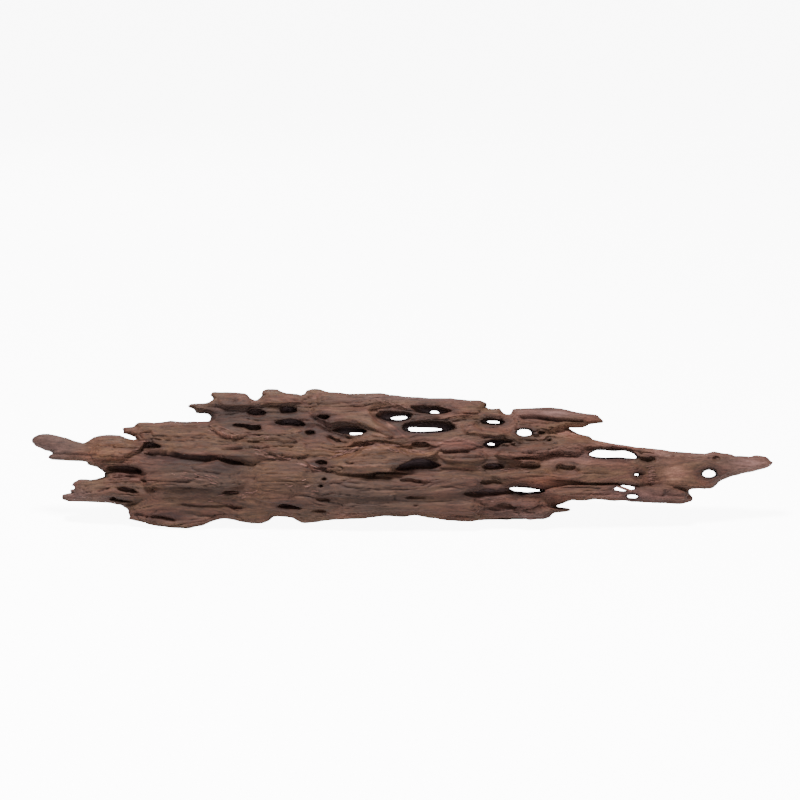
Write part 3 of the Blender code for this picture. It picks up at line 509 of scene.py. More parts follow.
# %% Grooves and undercuts
GROOVES = [
    ([(-181, 19.5), (-170.5, 18.6), (-159.5, 17.6), (-147, 17.8), (-136, 18), (-124, 17)], 1.0, 2.4),
    ([(-188.5, 33.7), (-174.7, 33.3), (-161, 32.4), (-147, 32)], 0.6, 1.2),
    ([(-112.7, 44), (-104, 44.3), (-94.8, 44)], 0.6, 1.0),
    ([(-36, 43.8), (-28.4, 44.1), (-20, 44.9), (-3.7, 45), (4, 44.2)], 0.8, 3.0),
    ([(26, 48), (36, 47.8), (48, 47.4), (58, 47.6)], 0.6, 1.6),
    ([(119, 39), (135.7, 38), (149.5, 36.2), (160.5, 36), (171.6, 36.2), (182.6, 34.9),
      (196.4, 34.2)], 0.6, 1.3),
    ([(90, 90.8), (108, 90.2), (122, 88), (135.5, 86.8), (149, 85.8)], 1.0, 3.4),
    ([(-150, 71), (-140, 69.5), (-128, 69)], 0.7, 1.6),
    ([(-170, 74), (-158, 74.5), (-150, 74)], 0.6, 0.8),
    ([(-26, 31), (-6, 31.5), (10, 31)], 0.6, 0.8),
    ([(28, 34), (40, 33), (50, 31.5)], 0.7, 1.4),
    ([(90, 40.5), (104, 41.5), (118, 42)], 0.6, 1.2),
    ([(140, 44), (156, 44.5), (170, 43.5)], 0.6, 1.2),
]
UNDERCUTS = [
    ([(-210.5, 62.5), (-203.5, 62.8), (-195.5, 63), (-188.5, 62.5), (-177.5, 60), (-168, 59),
      (-157, 58.5), (-147, 59)],
     [(-210.5, 60), (-202.5, 57), (-192.5, 55.5), (-181.5, 52.5), (-172, 51.5), (-162.5, 52.5),
      (-154, 53.5), (-147, 55)], 5, True),
    ([(-236, 50), (-222, 50), (-208, 47)], [(-236, 41), (-222, 41), (-208, 40)], 3, False),
    ([(-228, 33), (-216, 32), (-208, 29)], [(-228, 27.5), (-216, 26.5), (-208, 26.5)], 3, False),
    ([(-74, 38), (-40, 41), (0, 40)], [(-74, 26), (-40, 26), (0, 27)], -1.2, False),
    ([(-26, 101.5), (-12, 102), (6, 98.5)], [(-26, 94), (-12, 93), (6, 92)], 5, False),
    ([(0, 87), (16, 89.6), (30, 89.4), (42, 90.5)], [(0, 85), (16, 87), (30, 87.2), (42, 86)], 2.5, False),
]
print("grooves", len(GROOVES), "undercuts", len(UNDERCUTS))

# %% [markdown]
# ## Torn lips
# Where a layer tore, its edge curls up in a pale, frayed lip. Each is a line and the strength of its
# colour. The lips stand out less than 1 mm, so the colour does most of the work.

# %% Torn lips
RAGS = [
    ([(-43, 59.6), (-36, 64.7), (-27, 69), (-18, 67.6), (-11, 64.7), (-4, 66)], 0.9),
    ([(-2, 64), (3, 63), (11, 61), (22, 61), (30, 65)], 0.8),
    ([(-154, 83), (-147, 77), (-138.3, 73.8), (-128, 74.8), (-112, 77)], 0.4),
    ([(-153, 85), (-143, 79.5), (-130, 77), (-116, 79)], 0.35),
    ([(-48, 56), (-40, 58.5), (-33, 62), (-24, 64.5), (-14, 63.5)], 0.6),
    ([(-46, 70.5), (-34, 72.5), (-20, 74.5), (-8, 73)], 0.5),
    ([(24, 65.6), (34, 70), (43, 72.5), (55, 69.5), (66, 66.5)], 0.5),
    ([(-24, 102), (-20, 94), (-12.5, 85.7), (-3.8, 78.5), (3.5, 72.7), (8, 70)], 0.6),
    ([(-52, 51), (-30, 50.2), (-10, 51)], 0.4),
]
print("torn lips", len(RAGS))

# %% [markdown]
# ## Small helpers
# They make objects and meshes, and read the points of a mesh into arrays. A loop over the points would
# also do, but the skin has several hundred thousand of them, and arrays move them all at once.

# %% Helpers for meshes
guides = bpy.data.collections.new("guides")
bpy.context.scene.collection.children.link(guides)
VOXELS = ("REMESH", {"mode": "VOXEL", "voxel_size": STEP * MM})


def add_object(name, mesh, home=guides):
    made = bpy.data.objects.new(name, mesh)
    home.objects.link(made)
    return made


def mesh_from(bm, name):
    mesh = bpy.data.meshes.new(name)
    bm.to_mesh(mesh)
    bm.free()
    return mesh


def piled(sources, name):
    """One mesh that holds several others."""
    bm = bmesh.new()
    for mesh in sources:
        bm.from_mesh(mesh)
    return mesh_from(bm, name)


def cast_mesh(source, modifiers):
    """The mesh of an object after modifiers given as (type, settings). The object itself goes."""
    for kind, settings in modifiers:
        added = source.modifiers.new(kind.title(), kind)
        for key, value in settings.items():
            setattr(added, key, value)
    graph = bpy.context.evaluated_depsgraph_get()
    mesh = bpy.data.meshes.new_from_object(source.evaluated_get(graph))
    bpy.data.objects.remove(source)
    return mesh


def draw_out(bm, face, places):
    """Extrudes the end face of a body and moves its corners to new places. It returns the new end."""
    lifted = bmesh.ops.extrude_face_region(bm, geom=[face])["geom"]
    if len(face.edges[0].link_faces) > 2:  # the old end has a side on both sides now, so it lies inside
        bmesh.ops.delete(bm, geom=[face], context="FACES_ONLY")
    face = next(item for item in lifted if isinstance(item, bmesh.types.BMFace))
    for vert, place in zip(face.verts, places):
        vert.co = place
    return face


def vectors_of(mesh, name):
    flat = np.empty(len(mesh.vertices) * 3, dtype=np.float32)
    mesh.vertices.foreach_get(name, flat)
    return flat.reshape(-1, 3).astype(np.float64)


def set_points(mesh, points):
    mesh.vertices.foreach_set("co", points.astype(np.float32).ravel())
    mesh.update()


def tree_of(mesh):
    """The faces of a mesh, sorted so that rays and nearest points are found fast."""
    return BVHTree.FromPolygons([v.co for v in mesh.vertices], [tuple(p.vertices) for p in mesh.polygons])


# %% [markdown]
# ## Random values in space
# Nothing on the wood is even, so most forms below are shaken by a smooth random value. Blender's own
# noise is read one point at a time. This one takes arrays: it keeps a block of random numbers and blends
# the eight that are nearest to each point.

# %% Noise
LATTICE = np.random.default_rng(5).random((64, 64, 64))


def noise(x, y, z, turn=0):
    """Smooth random values from 0 to 1 on a lattice of unit cells. Each turn gives another pattern."""
    at = np.stack([x + 7.3 * turn, y + 3.1 * turn, z + 5.7 * turn])
    cell = np.floor(at)
    part = at - cell
    part = part * part * (3 - 2 * part)
    i = cell.astype(int) % 64
    j = (i + 1) % 64
    total = 0
    for corner in range(8):
        pick = [(corner >> axis) & 1 for axis in range(3)]
        index = [j[axis] if pick[axis] else i[axis] for axis in range(3)]
        weight = 1
        for axis in range(3):
            weight = weight * (part[axis] if pick[axis] else 1 - part[axis])
        total = total + weight * LATTICE[index[0], index[1], index[2]]
    return total


def ease(low, high, value):
    """0 below the low value, 1 above the high one, and a smooth rise between them."""
    t = np.clip((value - low) / (high - low), 0, 1)
    return t * t * (3 - 2 * t)


print("random values", LATTICE.size, "from", round(LATTICE.min(), 3), "to", round(LATTICE.max(), 3))

# %% [markdown]
# ## Torn outlines
# Wood breaks in splinters along its grain, so an end that runs across the grain is ragged, and a side
# along the grain is nearly straight. Each outline is cut into short steps, and its points are pushed in
# or out along the grain by a random amount that grows with how far the side runs across.

# %% Torn outlines
def torn(outline, turn, tear=1.5):
    corners = np.array(outline, dtype=float)
    made = []
    for a, b in zip(corners, np.roll(corners, -1, axis=0)):
        count = max(1, int(np.hypot(*(b - a))))
        made.extend(a + (b - a) * k / count for k in range(count))
    made = np.array(made)
    side = np.roll(made, -1, axis=0) - np.roll(made, 1, axis=0)
    across = np.abs(side[:, 1]) / (np.hypot(side[:, 0], side[:, 1]) + 1e-9)
    zero = np.zeros(len(made))
    teeth = noise(made[:, 0] / 9, made[:, 1] / 1.3, zero, turn) - 0.5
    waves = noise(made[:, 0] / 5, made[:, 1] / 5, zero + 9, turn) - 0.5
    made[:, 0] += tear * 2 * teeth * across
    made[:, 1] += 0.7 * waves * (1 - across)
    return made


def rim_distance(along, up, outline, facing=0):
    """How far each point lies from the sides of an outline, in mm; facing 1 takes only upper sides."""
    ends = np.roll(outline, -1, axis=0)
    turning = np.sign((outline[:, 0] * ends[:, 1] - ends[:, 0] * outline[:, 1]).sum())
    best = np.full(len(along), 1e9)
    for (ax, ay), (bx, by) in zip(outline, ends):
        dx, dy = bx - ax, by - ay
        if facing and -turning * dx < 0.3 * math.hypot(dx, dy):
            continue
        long = dx * dx + dy * dy + 1e-12
        t = np.clip(((along - ax) * dx + (up - ay) * dy) / long, 0, 1)
        best = np.minimum(best, (along - ax - t * dx) ** 2 + (up - ay - t * dy) ** 2)
    return np.sqrt(best)


def end_fade(along, outline, ends):
    """0 at the left and right end of an outline, rising to 1 over the two lengths given."""
    left, right = outline[:, 0].min(), outline[:, 0].max()
    return ease(0, ends[0], along - left) * ease(0, ends[1], right - along)


print("points of the torn heart", len(torn(THROUGH["heart"][0], 0)))

# %% [markdown]
# ## From outline to slab
# A flat slab is extruded from the outline and cast into small cubes of space, which gives it an even
# skin. Its points can then move in depth one by one.

# %% Slabs
def front_of(along, up):
    return np.interp(up, HEIGHTS, FRONT_BY_HEIGHT) * np.interp(along, ALONG, SHARE_ALONG)


def back_of(along, up):
    return -np.interp(up, HEIGHTS, BACK_BY_HEIGHT) * np.interp(along, ALONG, SHARE_ALONG)


def wander(along, up, turn):
    """A slow rise and fall, long along the grain and short across it, in mm."""
    long_wave = np.sin(along / 34 + turn * 1.7 + 0.6 * np.sin(up / 13 + turn))
    short_wave = np.sin(up / 4.6 + turn * 2.3 + 1.3 * np.sin(along / 47 + turn))
    return 1.4 * long_wave + 1.3 * short_wave


def slab(name, outline):
    bm = bmesh.new()
    corners = [bm.verts.new((x * MM / SQUEEZE, -SLAB * MM, z * MM)) for x, z in outline]
    lifted = bmesh.ops.extrude_face_region(bm, geom=[bm.faces.new(corners)])
    moved = [item for item in lifted["geom"] if isinstance(item, bmesh.types.BMVert)]
    bmesh.ops.translate(bm, verts=moved, vec=(0, 2 * SLAB * MM, 0))
    bmesh.ops.recalc_face_normals(bm, faces=bm.faces)
    return cast_mesh(add_object(name, mesh_from(bm, name)), [VOXELS])


def places_on(mesh):
    """The points of a slab, where they lie along and up in mm, and a side: 1 in front, -1 behind."""
    points = vectors_of(mesh, "co")
    side = np.clip(-points[:, 1] / (SLAB * MM), -1, 1)
    return points, points[:, 0] * SQUEEZE / MM, points[:, 2] / MM, side


# %% [markdown]
# ## From slab to plank or ledge
# The slab of a plank is pulled apart in depth, from the back of the wood to its front, and thins towards
# its rim. The slab of a ledge is laid on one face. Its upper side and its ends fade into the wood, and
# its lower side is a sharp step, because that is where layers break away on a piece that lies like this.

# %% Planks and ledges
def plank(name, outline, faces, rim, edge, turn, ends=(0.1, 0.1), sink=0):
    """A plank through the wood; its ends sink by some mm where they lie inside other planks."""
    outline = torn(outline, turn)
    mesh = slab(name, outline)
    points, along, up, side = places_on(mesh)
    front, back = faces(along, up)
    sunk = sink * (1 - end_fade(along, outline, ends))
    front, back = front - sunk, back + sunk
    inward = np.clip(rim_distance(along, up, outline) / rim, 0, 1)
    swell = edge + (1 - edge) * np.sqrt(1 - (1 - inward) ** 2)
    stand = (front + back) / 2 + side * (front - back) / 2 * swell + 0.6 * wander(along, up, turn)
    points[:, 1] = -stand * MM
    set_points(mesh, points)
    return mesh


def ledge(name, outline, lift, rim, turn, ends=(10, 10), behind=False):
    outline = torn(outline, turn, 1.6)
    mesh = slab(name, outline)
    points, along, up, side = places_on(mesh)
    side = -side if behind else side
    base = -back_of(along, up) if behind else front_of(along, up)
    fade = ease(0, rim * 2.6, rim_distance(along, up, outline, 1)) * end_fade(along, outline, ends)
    inward = np.clip(rim_distance(along, up, outline) / 1.2, 0, 1)
    rounding = 0.7 * (1 - np.sqrt(1 - (1 - inward) ** 2))
    top = base + lift * (fade * 1.25 - 0.25) - rounding + 0.4 * wander(along, up, turn)
    stand = top - (1 - side) / 2 * (lift + 8)
    points[:, 1] = (stand if behind else -stand) * MM
    set_points(mesh, points)
    return mesh


def whole(more, less):
    """The front and back of the wood, with some mm added to each."""
    return lambda along, up: (front_of(along, up) + more, back_of(along, up) - less)


meshes = []
for turn, (name, (outline, more, less, rim, edge)) in enumerate(THROUGH.items()):
    ends = PLANK_ENDS.get(name, (0.1, 0.1))
    meshes.append(plank(name, outline, whole(more, less), rim, edge, turn, ends, sink=7))
for turn, (name, (outline, lift, rim)) in enumerate(FRONT_LEDGES.items(), 20):
    meshes.append(ledge("front ledge", outline, lift, rim, turn, ENDS.get(name, (14, 14))))
for turn, (outline, lift, rim) in enumerate(BACK_LEDGES, 50):
    meshes.append(ledge("back ledge", outline, lift, rim, turn, behind=True))
for turn, (outline, near, far) in enumerate(FEET, 70):
    meshes.append(plank("foot", outline, lambda along, up, both=(near, far): both, 9, 0.4, turn))
print("plank faces", sum(len(m.polygons) for m in meshes))

# %% [markdown]
# ## Melting the planks into one skin
# The wood has grown as one piece, so no plank may show as a piece of its own. A Boolean union of so many
# rough solids fails easily. Casting the whole pile into small cubes of space joins all that overlaps.

# %% One skin
def melt(sources, name, rounds=0):
    """One skin around everything; rounds of smoothing take the cubes out of it."""
    smooth = [("SMOOTH", {"factor": 0.5, "iterations": rounds})] if rounds else []
    return cast_mesh(add_object(name, piled(sources, name)), [VOXELS, *smooth])


skin = melt(meshes, "skin")
tree = tree_of(skin)
print("skin faces", len(skin.polygons))

# %% [markdown]
# ## Shaping the cutters
# A hole could be a plain cylinder, but borers and rot leave eye-shaped mouths that narrow inwards. Each
# cutter is a ring that is drawn out from station to station, so mouth and neck can differ in shape. It
# starts on the skin, where a ray along the hole first meets the wood.

# %% Cutters
chance = random.Random(SEED)


def surface_depth(x, z, behind=False):
    start = Vector((x * MM / SQUEEZE, 0.2 if behind else -0.2, z * MM))
    hit = tree.ray_cast(start, Vector((0, -1 if behind else 1, 0)))[0]
    return None if hit is None else -hit.y / MM


def even_ring(outline, count=32):
    """An outline drawn anticlockwise as evenly spaced points, starting at its right end."""
    ends = np.array(outline, dtype=float)
    nexts = np.roll(ends, -1, axis=0)
    if (ends[:, 0] * nexts[:, 1] - nexts[:, 0] * ends[:, 1]).sum() < 0:
        ends = ends[::-1]
    ends = np.roll(ends, -int(ends[:, 0].argmax()), axis=0)
    ends = np.vstack([ends, ends[:1]])
    at = np.concatenate([[0], np.hypot(*np.diff(ends, axis=0).T).cumsum()])
    even = np.linspace(0, at[-1], count, endpoint=False)
    return np.stack([np.interp(even, at, ends[:, axis]) for axis in range(2)], axis=1)


def tunnel(stations, shake=0.6):
    """A closed cutter through rings given as (depth, points along and up), with a worn outline."""
    bm = bmesh.new()
    turn = chance.random() * 50
    face = None
    for depth, points in stations:
        zero = np.zeros(len(points))
        shaken = points + shake * np.stack([
            2 * noise(points[:, 0] / 4, points[:, 1] / 2, zero, turn) - 1,
            0.7 * noise(points[:, 0] / 3, points[:, 1] / 3, zero + 5, turn) - 0.35], axis=1)
        ring = [(a * MM / SQUEEZE, -depth * MM, b * MM) for a, b in shaken]
        face = draw_out(bm, face, ring) if face else bm.faces.new([bm.verts.new(at) for at in ring])
    bmesh.ops.recalc_face_normals(bm, faces=bm.faces)
    return mesh_from(bm, "cutter")


def grown(points, along, up):
    """A ring grown about its middle, by a factor along the grain and one across it."""
    middle = (points.min(axis=0) + points.max(axis=0)) / 2
    return middle + (points - middle) * np.array([along, up])


def hole_through(mouth, neck):
    """The mouth narrows to the neck in the middle of the wood, and the hole widens again behind."""
    mouth, neck = even_ring(mouth), grown(even_ring(neck), 1.02, 0.94)
    (mx, mz), (nx, nz) = mouth.mean(axis=0), neck.mean(axis=0)
    front = surface_depth(mx, mz) or 10
    back = surface_depth(nx, nz, behind=True) or -10
    middle = (front + back) / 2
    return tunnel([
        (front + 10, mouth), (front - 2, mouth), (middle + 5, (mouth + 2 * neck) / 3),
        (middle + 2, neck), (middle - 3, neck), (back + 2, grown(neck, 1.5, 1.9)),
        (back - 6, grown(neck, 1.7, 2.4))], shake=0.35)


def hollow_in(outline, depth, behind=False):
    """A hollow with a steep roof: its floor slopes out to the lower side of its outline."""
    mouth = even_ring(outline)
    x, z = (mouth.min(axis=0) + mouth.max(axis=0)) / 2
    top = surface_depth(x, z, behind)
    if top is None:
        return None
    way = -1 if behind else 1
    left, roof = mouth[:, 0].min(), mouth[:, 1].max()

    def narrowed(along, up):
        drift = 0.12 * (1 - along) * (x - left)
        return np.stack([x + drift + (mouth[:, 0] - x) * along, roof + (mouth[:, 1] - roof) * up], axis=1)

    return tunnel([
        (top + way * 10, mouth), (top - way * 1.5, mouth),
        (top - way * depth * 0.55, narrowed(0.88, 0.72)), (top - way * depth, narrowed(0.5, 0.42))])


# %% [markdown]
# ## Strewing the hollows behind
# Nobody sees the back from the front, but the piece can be turned. Its hollows are eyes of random length
# along the grain. A new one is kept only where it stays clear of those before it.

# %% Hollows behind, and all cutters
def back_spots():
    """Hollows as (along, up, length, height, depth)."""
    spots = []
    while len(spots) < BACK_HOLLOWS:
        x = chance.uniform(-225, 225)
        z = chance.uniform(18, 96) if abs(x) < 110 else chance.uniform(30, 64)
        length = chance.uniform(10, 34)
        if all(abs(x - s[0]) > (length + s[2]) * 0.55 or abs(z - s[1]) > 8.5 for s in spots):
            spots.append((x, z, length, chance.uniform(4, 8.5), chance.uniform(7, 15)))
    return spots


def eye(x, z, length, height):
    """An eye-shaped outline with a worn edge."""
    angles = np.linspace(0, 2 * math.pi, 20, endpoint=False)
    worn = 1 + 0.5 * (noise(np.cos(angles) * 1.6 + x, np.sin(angles) * 1.6, angles * 0 + z) - 0.5)
    lens = np.copysign(np.abs(np.sin(angles)) ** 1.2, np.sin(angles))
    return np.stack([x + length / 2 * np.cos(angles) * worn, z + height / 2 * lens * worn], axis=1)


cutters = [hole_through(*pair) for pair in THROUGH_HOLES.values()]
cutters += [hollow_in(*pair) for pair in FRONT_HOLLOWS.values()]
cutters += [hollow_in(eye(*spot[:4]), spot[4], behind=True) for spot in back_spots()]
cutters = [cutter for cutter in cutters if cutter]
print("cutters", len(cutters))

# %% [markdown]
# ## Cutting
# Each Boolean cut goes over the whole skin, so ninety of them would take minutes. Cutters that don't
# touch each other can share one cut. Two groups are enough, and the skin is then melted once more, which
# rounds the sharp rims that the cutters leave.

# %% Cut in a few groups
GAP = 5e-4  # cutters in one group keep this far apart, in metres


def apart(a, b):
    return any(a[1][k] < b[0][k] - GAP or b[1][k] < a[0][k] - GAP for k in range(3))


groups = []
for cutter in cutters:
    points = vectors_of(cutter, "co")
    extent = (points.min(axis=0), points.max(axis=0))
    for group in groups:
        if all(apart(extent, other) for _, other in group):
            group.append((cutter, extent))
            break
    else:
        groups.append([(cutter, extent)])

helpers = [add_object("cutters", piled([cutter for cutter, _ in group], "cutters")) for group in groups]
hollowed = cast_mesh(add_object("hollowed", skin.copy()), [
    ("BOOLEAN", {"operation": "DIFFERENCE", "solver": "MANIFOLD", "object": helper})
    for helper in helpers])
for helper in helpers:
    bpy.data.objects.remove(helper)
print("groups of cutters", [len(group) for group in groups], "faces", len(hollowed.polygons))
wood = melt([hollowed], "wood", rounds=1)
print("faces after melting again", len(wood.polygons))

# %% [markdown]
# ## How deep each point lies in a hollow
# The walls of a hollow are painted darker, as shade, and are smoother than the open face. The distance
# of a point from the uncut skin tells them apart, so no hollow has to be marked by hand.

# %% Hollow depth
points = vectors_of(wood, "co")
depth_in = np.array([tree.find_nearest(Vector(p))[3] or 0.0 for p in points]) / MM
hollow = ease(2.0, 11.0, depth_in)
print("share of points in hollows", round(float((hollow > 0.5).mean()), 3))

# %% [markdown]
# ## Flow of the grain
# The fibres run along the wood and bend round each hole, as they grew round knots. The height of a point
# is bent in the same way, and every pattern below is read at the bent height. The wood round an opening
# also gets a soft painted shade there, where the light has fewer ways in. From here on, x is the way
# along the grain, w the way out of the face and v the way up, all in mm.

# %% Flow of the grain
points[:, 0] *= SQUEEZE
x, w, v = points[:, 0] / MM, -points[:, 1] / MM, points[:, 2] / MM
bent = v.copy()
shade = np.zeros(len(x))
openings = [(mouth, 0.55) for mouth, _ in THROUGH_HOLES.values()]
openings += [(outline, min(0.5, depth / 24)) for outline, depth in FRONT_HOLLOWS.values()]
unevenness = 0.5 * (noise(x / 9, v / 3, w / 9, 51) - 0.5)
for outline, strength in openings:
    (left, low), (right, high) = np.min(outline, axis=0), np.max(outline, axis=0)
    cx, cz, length, height = (left + right) / 2, (low + high) / 2, right - left, high - low
    near = np.exp(-((x - cx) / (0.8 * length)) ** 2 - ((v - cz) / (1.1 * height + 2)) ** 2)
    bent -= 0.7 * near * (v - cz) * (w > -5)
    away = ((x - cx) / (0.5 * length + 3)) ** 2 + ((v - cz - 0.5) / (0.5 * height + 2.2)) ** 2
    # painted shade round the opening
    shade = np.maximum(shade, strength * (1 - ease(0.55, 1.5, away + unevenness)))
bent += 6 * (noise(x / 70, v / 25, w / 25, 31) - 0.5)
set_points(wood, points)
normals = vectors_of(wood, "normal")
print("share of points shaded round openings", round(float((shade > 0.2).mean()), 3))

# %% [markdown]
# ## Carving the lines
# The steps, grooves, undercuts and lips are carved by moving the points of the front in or out. Cutting
# them with more cutters would leave edges that are too clean. `relief` gathers the heights in mm, and
# `dark` gathers painted shade: just below each step, in each groove and under each overhung undercut.

# %% Lines in the face
front = ease(0.2, 0.6, -normals[:, 1]) * (1 - 0.7 * hollow)
relief = np.zeros(len(x))
dark = np.zeros(len(x))
zero = np.zeros(len(x))


def below(line, turn, shake=0.6):
    """How far each point lies below a line, in mm, and a mask that fades at the ends of the line."""
    along, up = zip(*line)
    wiggle = noise(x / 5, zero + turn, zero, turn)
    wiggle = wiggle + 0.5 * noise(x / 1.8, zero + turn, zero, turn + 1) - 0.75
    ends = ease(along[0] - 1, along[0] + 8, x) * (1 - ease(along[-1] - 8, along[-1] + 1, x))
    return np.interp(x, along, up) + shake * 2 * wiggle - v, ends * front


for turn, (line, height) in enumerate(STEPS, 60):
    drop, mask = below(line, turn)
    under = np.where(drop > 0, -np.exp(-drop / (2.6 * height)), 0.4 * np.exp(drop / (1.5 * height)))
    relief += height * under * mask
    # painted shadow just below the edge of the step
    dark = np.maximum(dark, 0.25 * mask * np.exp(-np.abs(drop - 0.6)))
for turn, (line, width, depth) in enumerate(GROOVES, 100):
    drop, mask = below(line, turn, 0.35)
    trench = np.exp(-(drop / width) ** 2) * mask
    relief -= depth * trench
    # painted shade in the groove
    dark = np.maximum(dark, 0.55 * trench)
for turn, (upper, lower, depth, overhung) in enumerate(UNDERCUTS, 130):
    from_top, mask = below(upper, turn, 0.3)
    to_foot, _ = below(lower, turn, 0.3)
    share = np.clip(from_top / np.maximum(from_top - to_foot, 0.1), 0, 1)
    inside = (from_top > 0) & (to_foot < 0)
    if overhung:
        share = 1 - share ** 2
        # painted shadow over the band under the overhang
        dark = np.maximum(dark, (0.8 + 0.2 * ease(0.6, 1, share)) * inside * mask)
    relief -= depth * share * inside * mask
pale_lip = np.zeros(len(x))
for turn, (line, strength) in enumerate(RAGS, 150):
    drop, mask = below(line, turn, 0.8)
    lip = np.exp(-(drop / 1.1) ** 2) * mask * np.clip(0.5 + noise(x / 3, v / 2, w, turn), 0, 1.2)
    pale_lip = np.maximum(pale_lip, strength * lip)
    relief += 0.9 * lip
print("relief of the lines, mm", round(float(relief.min()), 2), round(float(relief.max()), 2))

# %% [markdown]
# ## Rough and smooth places
# The wood is torn where layers broke off, and worn smooth on the tips and on a few swells. Each place is
# a soft spot: its middle along and up, its reach both ways in mm, and a strength.

# %% Rough and smooth places
ROUGH = [(-105, 66, 44, 10, 1.0), (-85, 72, 30, 10, 0.8), (-40, 66, 40, 8, 0.8), (100, 62, 50, 12, 0.8),
         (-195, 26, 40, 20, 0.6), (-60, 98, 60, 10, 0.6), (120, 76, 25, 8, 1.0), (60, 92, 40, 8, 0.6),
         (90, 20, 30, 10, 0.8), (-130, 40, 50, 12, 0.5)]
SMOOTH = [(-280, 66, 26, 12, 1.0), (285, 52, 26, 12, 1.0), (130, 92, 36, 7, 0.7), (220, 46, 24, 14, 0.6),
          (43, 67, 16, 5, 0.8), (165, 46, 40, 7, 0.5), (-100, 42, 24, 12, 0.4), (60, 46, 30, 5, 0.4)]


def reach_of(spots, share=1):
    """The strongest spot at each point, times a share."""
    total = np.zeros(len(x))
    for cx, cz, reach_x, reach_z, strength in spots:
        near = np.exp(-((x - cx) / reach_x) ** 2 - ((v - cz) / reach_z) ** 2)
        total = np.maximum(total, strength * near * share)
    return total


smooth = reach_of(SMOOTH)
rough = np.where(w > 0, 0.25 + 0.75 * reach_of(ROUGH), 0.7) * (1 - 0.8 * smooth)
print("mean roughness", round(float(rough.mean()), 2))

# %% [markdown]
# ## Relief along the grain
# The face is built of peeled layers, ridges and furrows, all long along the grain and short across it.
# They are sums of noise read at the bent height, which is stretched along the grain. Bump alone would
# give the same picture from the front, but the outline and the shadows need real relief.

# %% Layers, ridges and furrows
def grain_noise(long, short, turn):
    return noise(x / long, bent / short, w / short, turn)


def layers(period, turn, reach, sharp):
    """Peeled layers: the face comes slowly forward downwards, then steps back below each edge."""
    at = bent / period + 2.4 * (noise(x / reach, bent / (2.4 * period), w / 30, turn) - 0.5)
    at = at + 0.35 * (noise(x / 8, bent / 5, w / 8, turn + 1) - 0.5)
    part = at - np.floor(at)
    return (1 - part) * ease(0, sharp, part) - 0.4


facing = np.abs(normals[:, 1])
here = ease(0.4, 0.6, noise(x / 55, v / 16, w / 30, 8))
texture = 2.8 * layers(9.0, 3, 90, 0.1) * facing * here * rough
here = ease(0.42, 0.58, noise(x / 35, v / 9, w / 20, 9))
texture += 1.9 * layers(4.0, 5, 50, 0.16) * facing * here * rough
texture += 1.3 * (grain_noise(60, 6, 10) - 0.5) * rough
ridge = 1 - np.abs(2 * grain_noise(38, 2.2, 11) - 1)
texture += 0.6 * (ridge - 0.5) * (0.2 + 0.8 * rough)
texture += (0.35 + 0.4 * rough) * (grain_noise(9, 1.3, 12) - 0.5) * (1 - 0.7 * smooth)
print("texture mm", round(float(texture.min()), 2), round(float(texture.max()), 2))

# %% [markdown]
# ## Cracks
# Drying wood splits along its fibres. A crack runs where a noise crosses its middle value, which gives
# long thin lines that never cross each other, and a second, slower noise decides where they open. There
# are long wide ones and short fine ones. Each kind has the size of its pattern along and across the
# grain, that of the places where it opens, the values between which it opens, how wide it is, how deep in
# mm, how dark the shade painted into it is, and a number for its noise.

# %% Cracks
CRACKS = [
    ((75, 4.2), (40, 9), (0.5, 0.58), 0.04, 1.6, 0.8, 14),
    ((32, 2.6), (22, 5), (0.52, 0.62), 0.05, 0.9, 0.7, 16),
]
for pattern, places, opens, width, depth, darkness, turn in CRACKS:
    line = np.abs(grain_noise(*pattern, turn) - 0.5)
    here = ease(*opens, grain_noise(*places, turn + 1)) * (1 - smooth)
    texture -= depth * (1 - ease(0.0, width, line)) * here
    # painted shade inside the crack
    dark = np.maximum(dark, darkness * (1 - ease(0.0, width - 0.01, line)) * here)
relief += texture * (1 - 0.6 * hollow)
# the painted shade round the openings joins the other painted shade
dark = np.maximum(dark, 1.4 * shade * (w > 0))
points += normals * relief[:, None] * MM
set_points(wood, points)
print("relief mm", round(float(relief.min()), 2), round(float(relief.max()), 2))
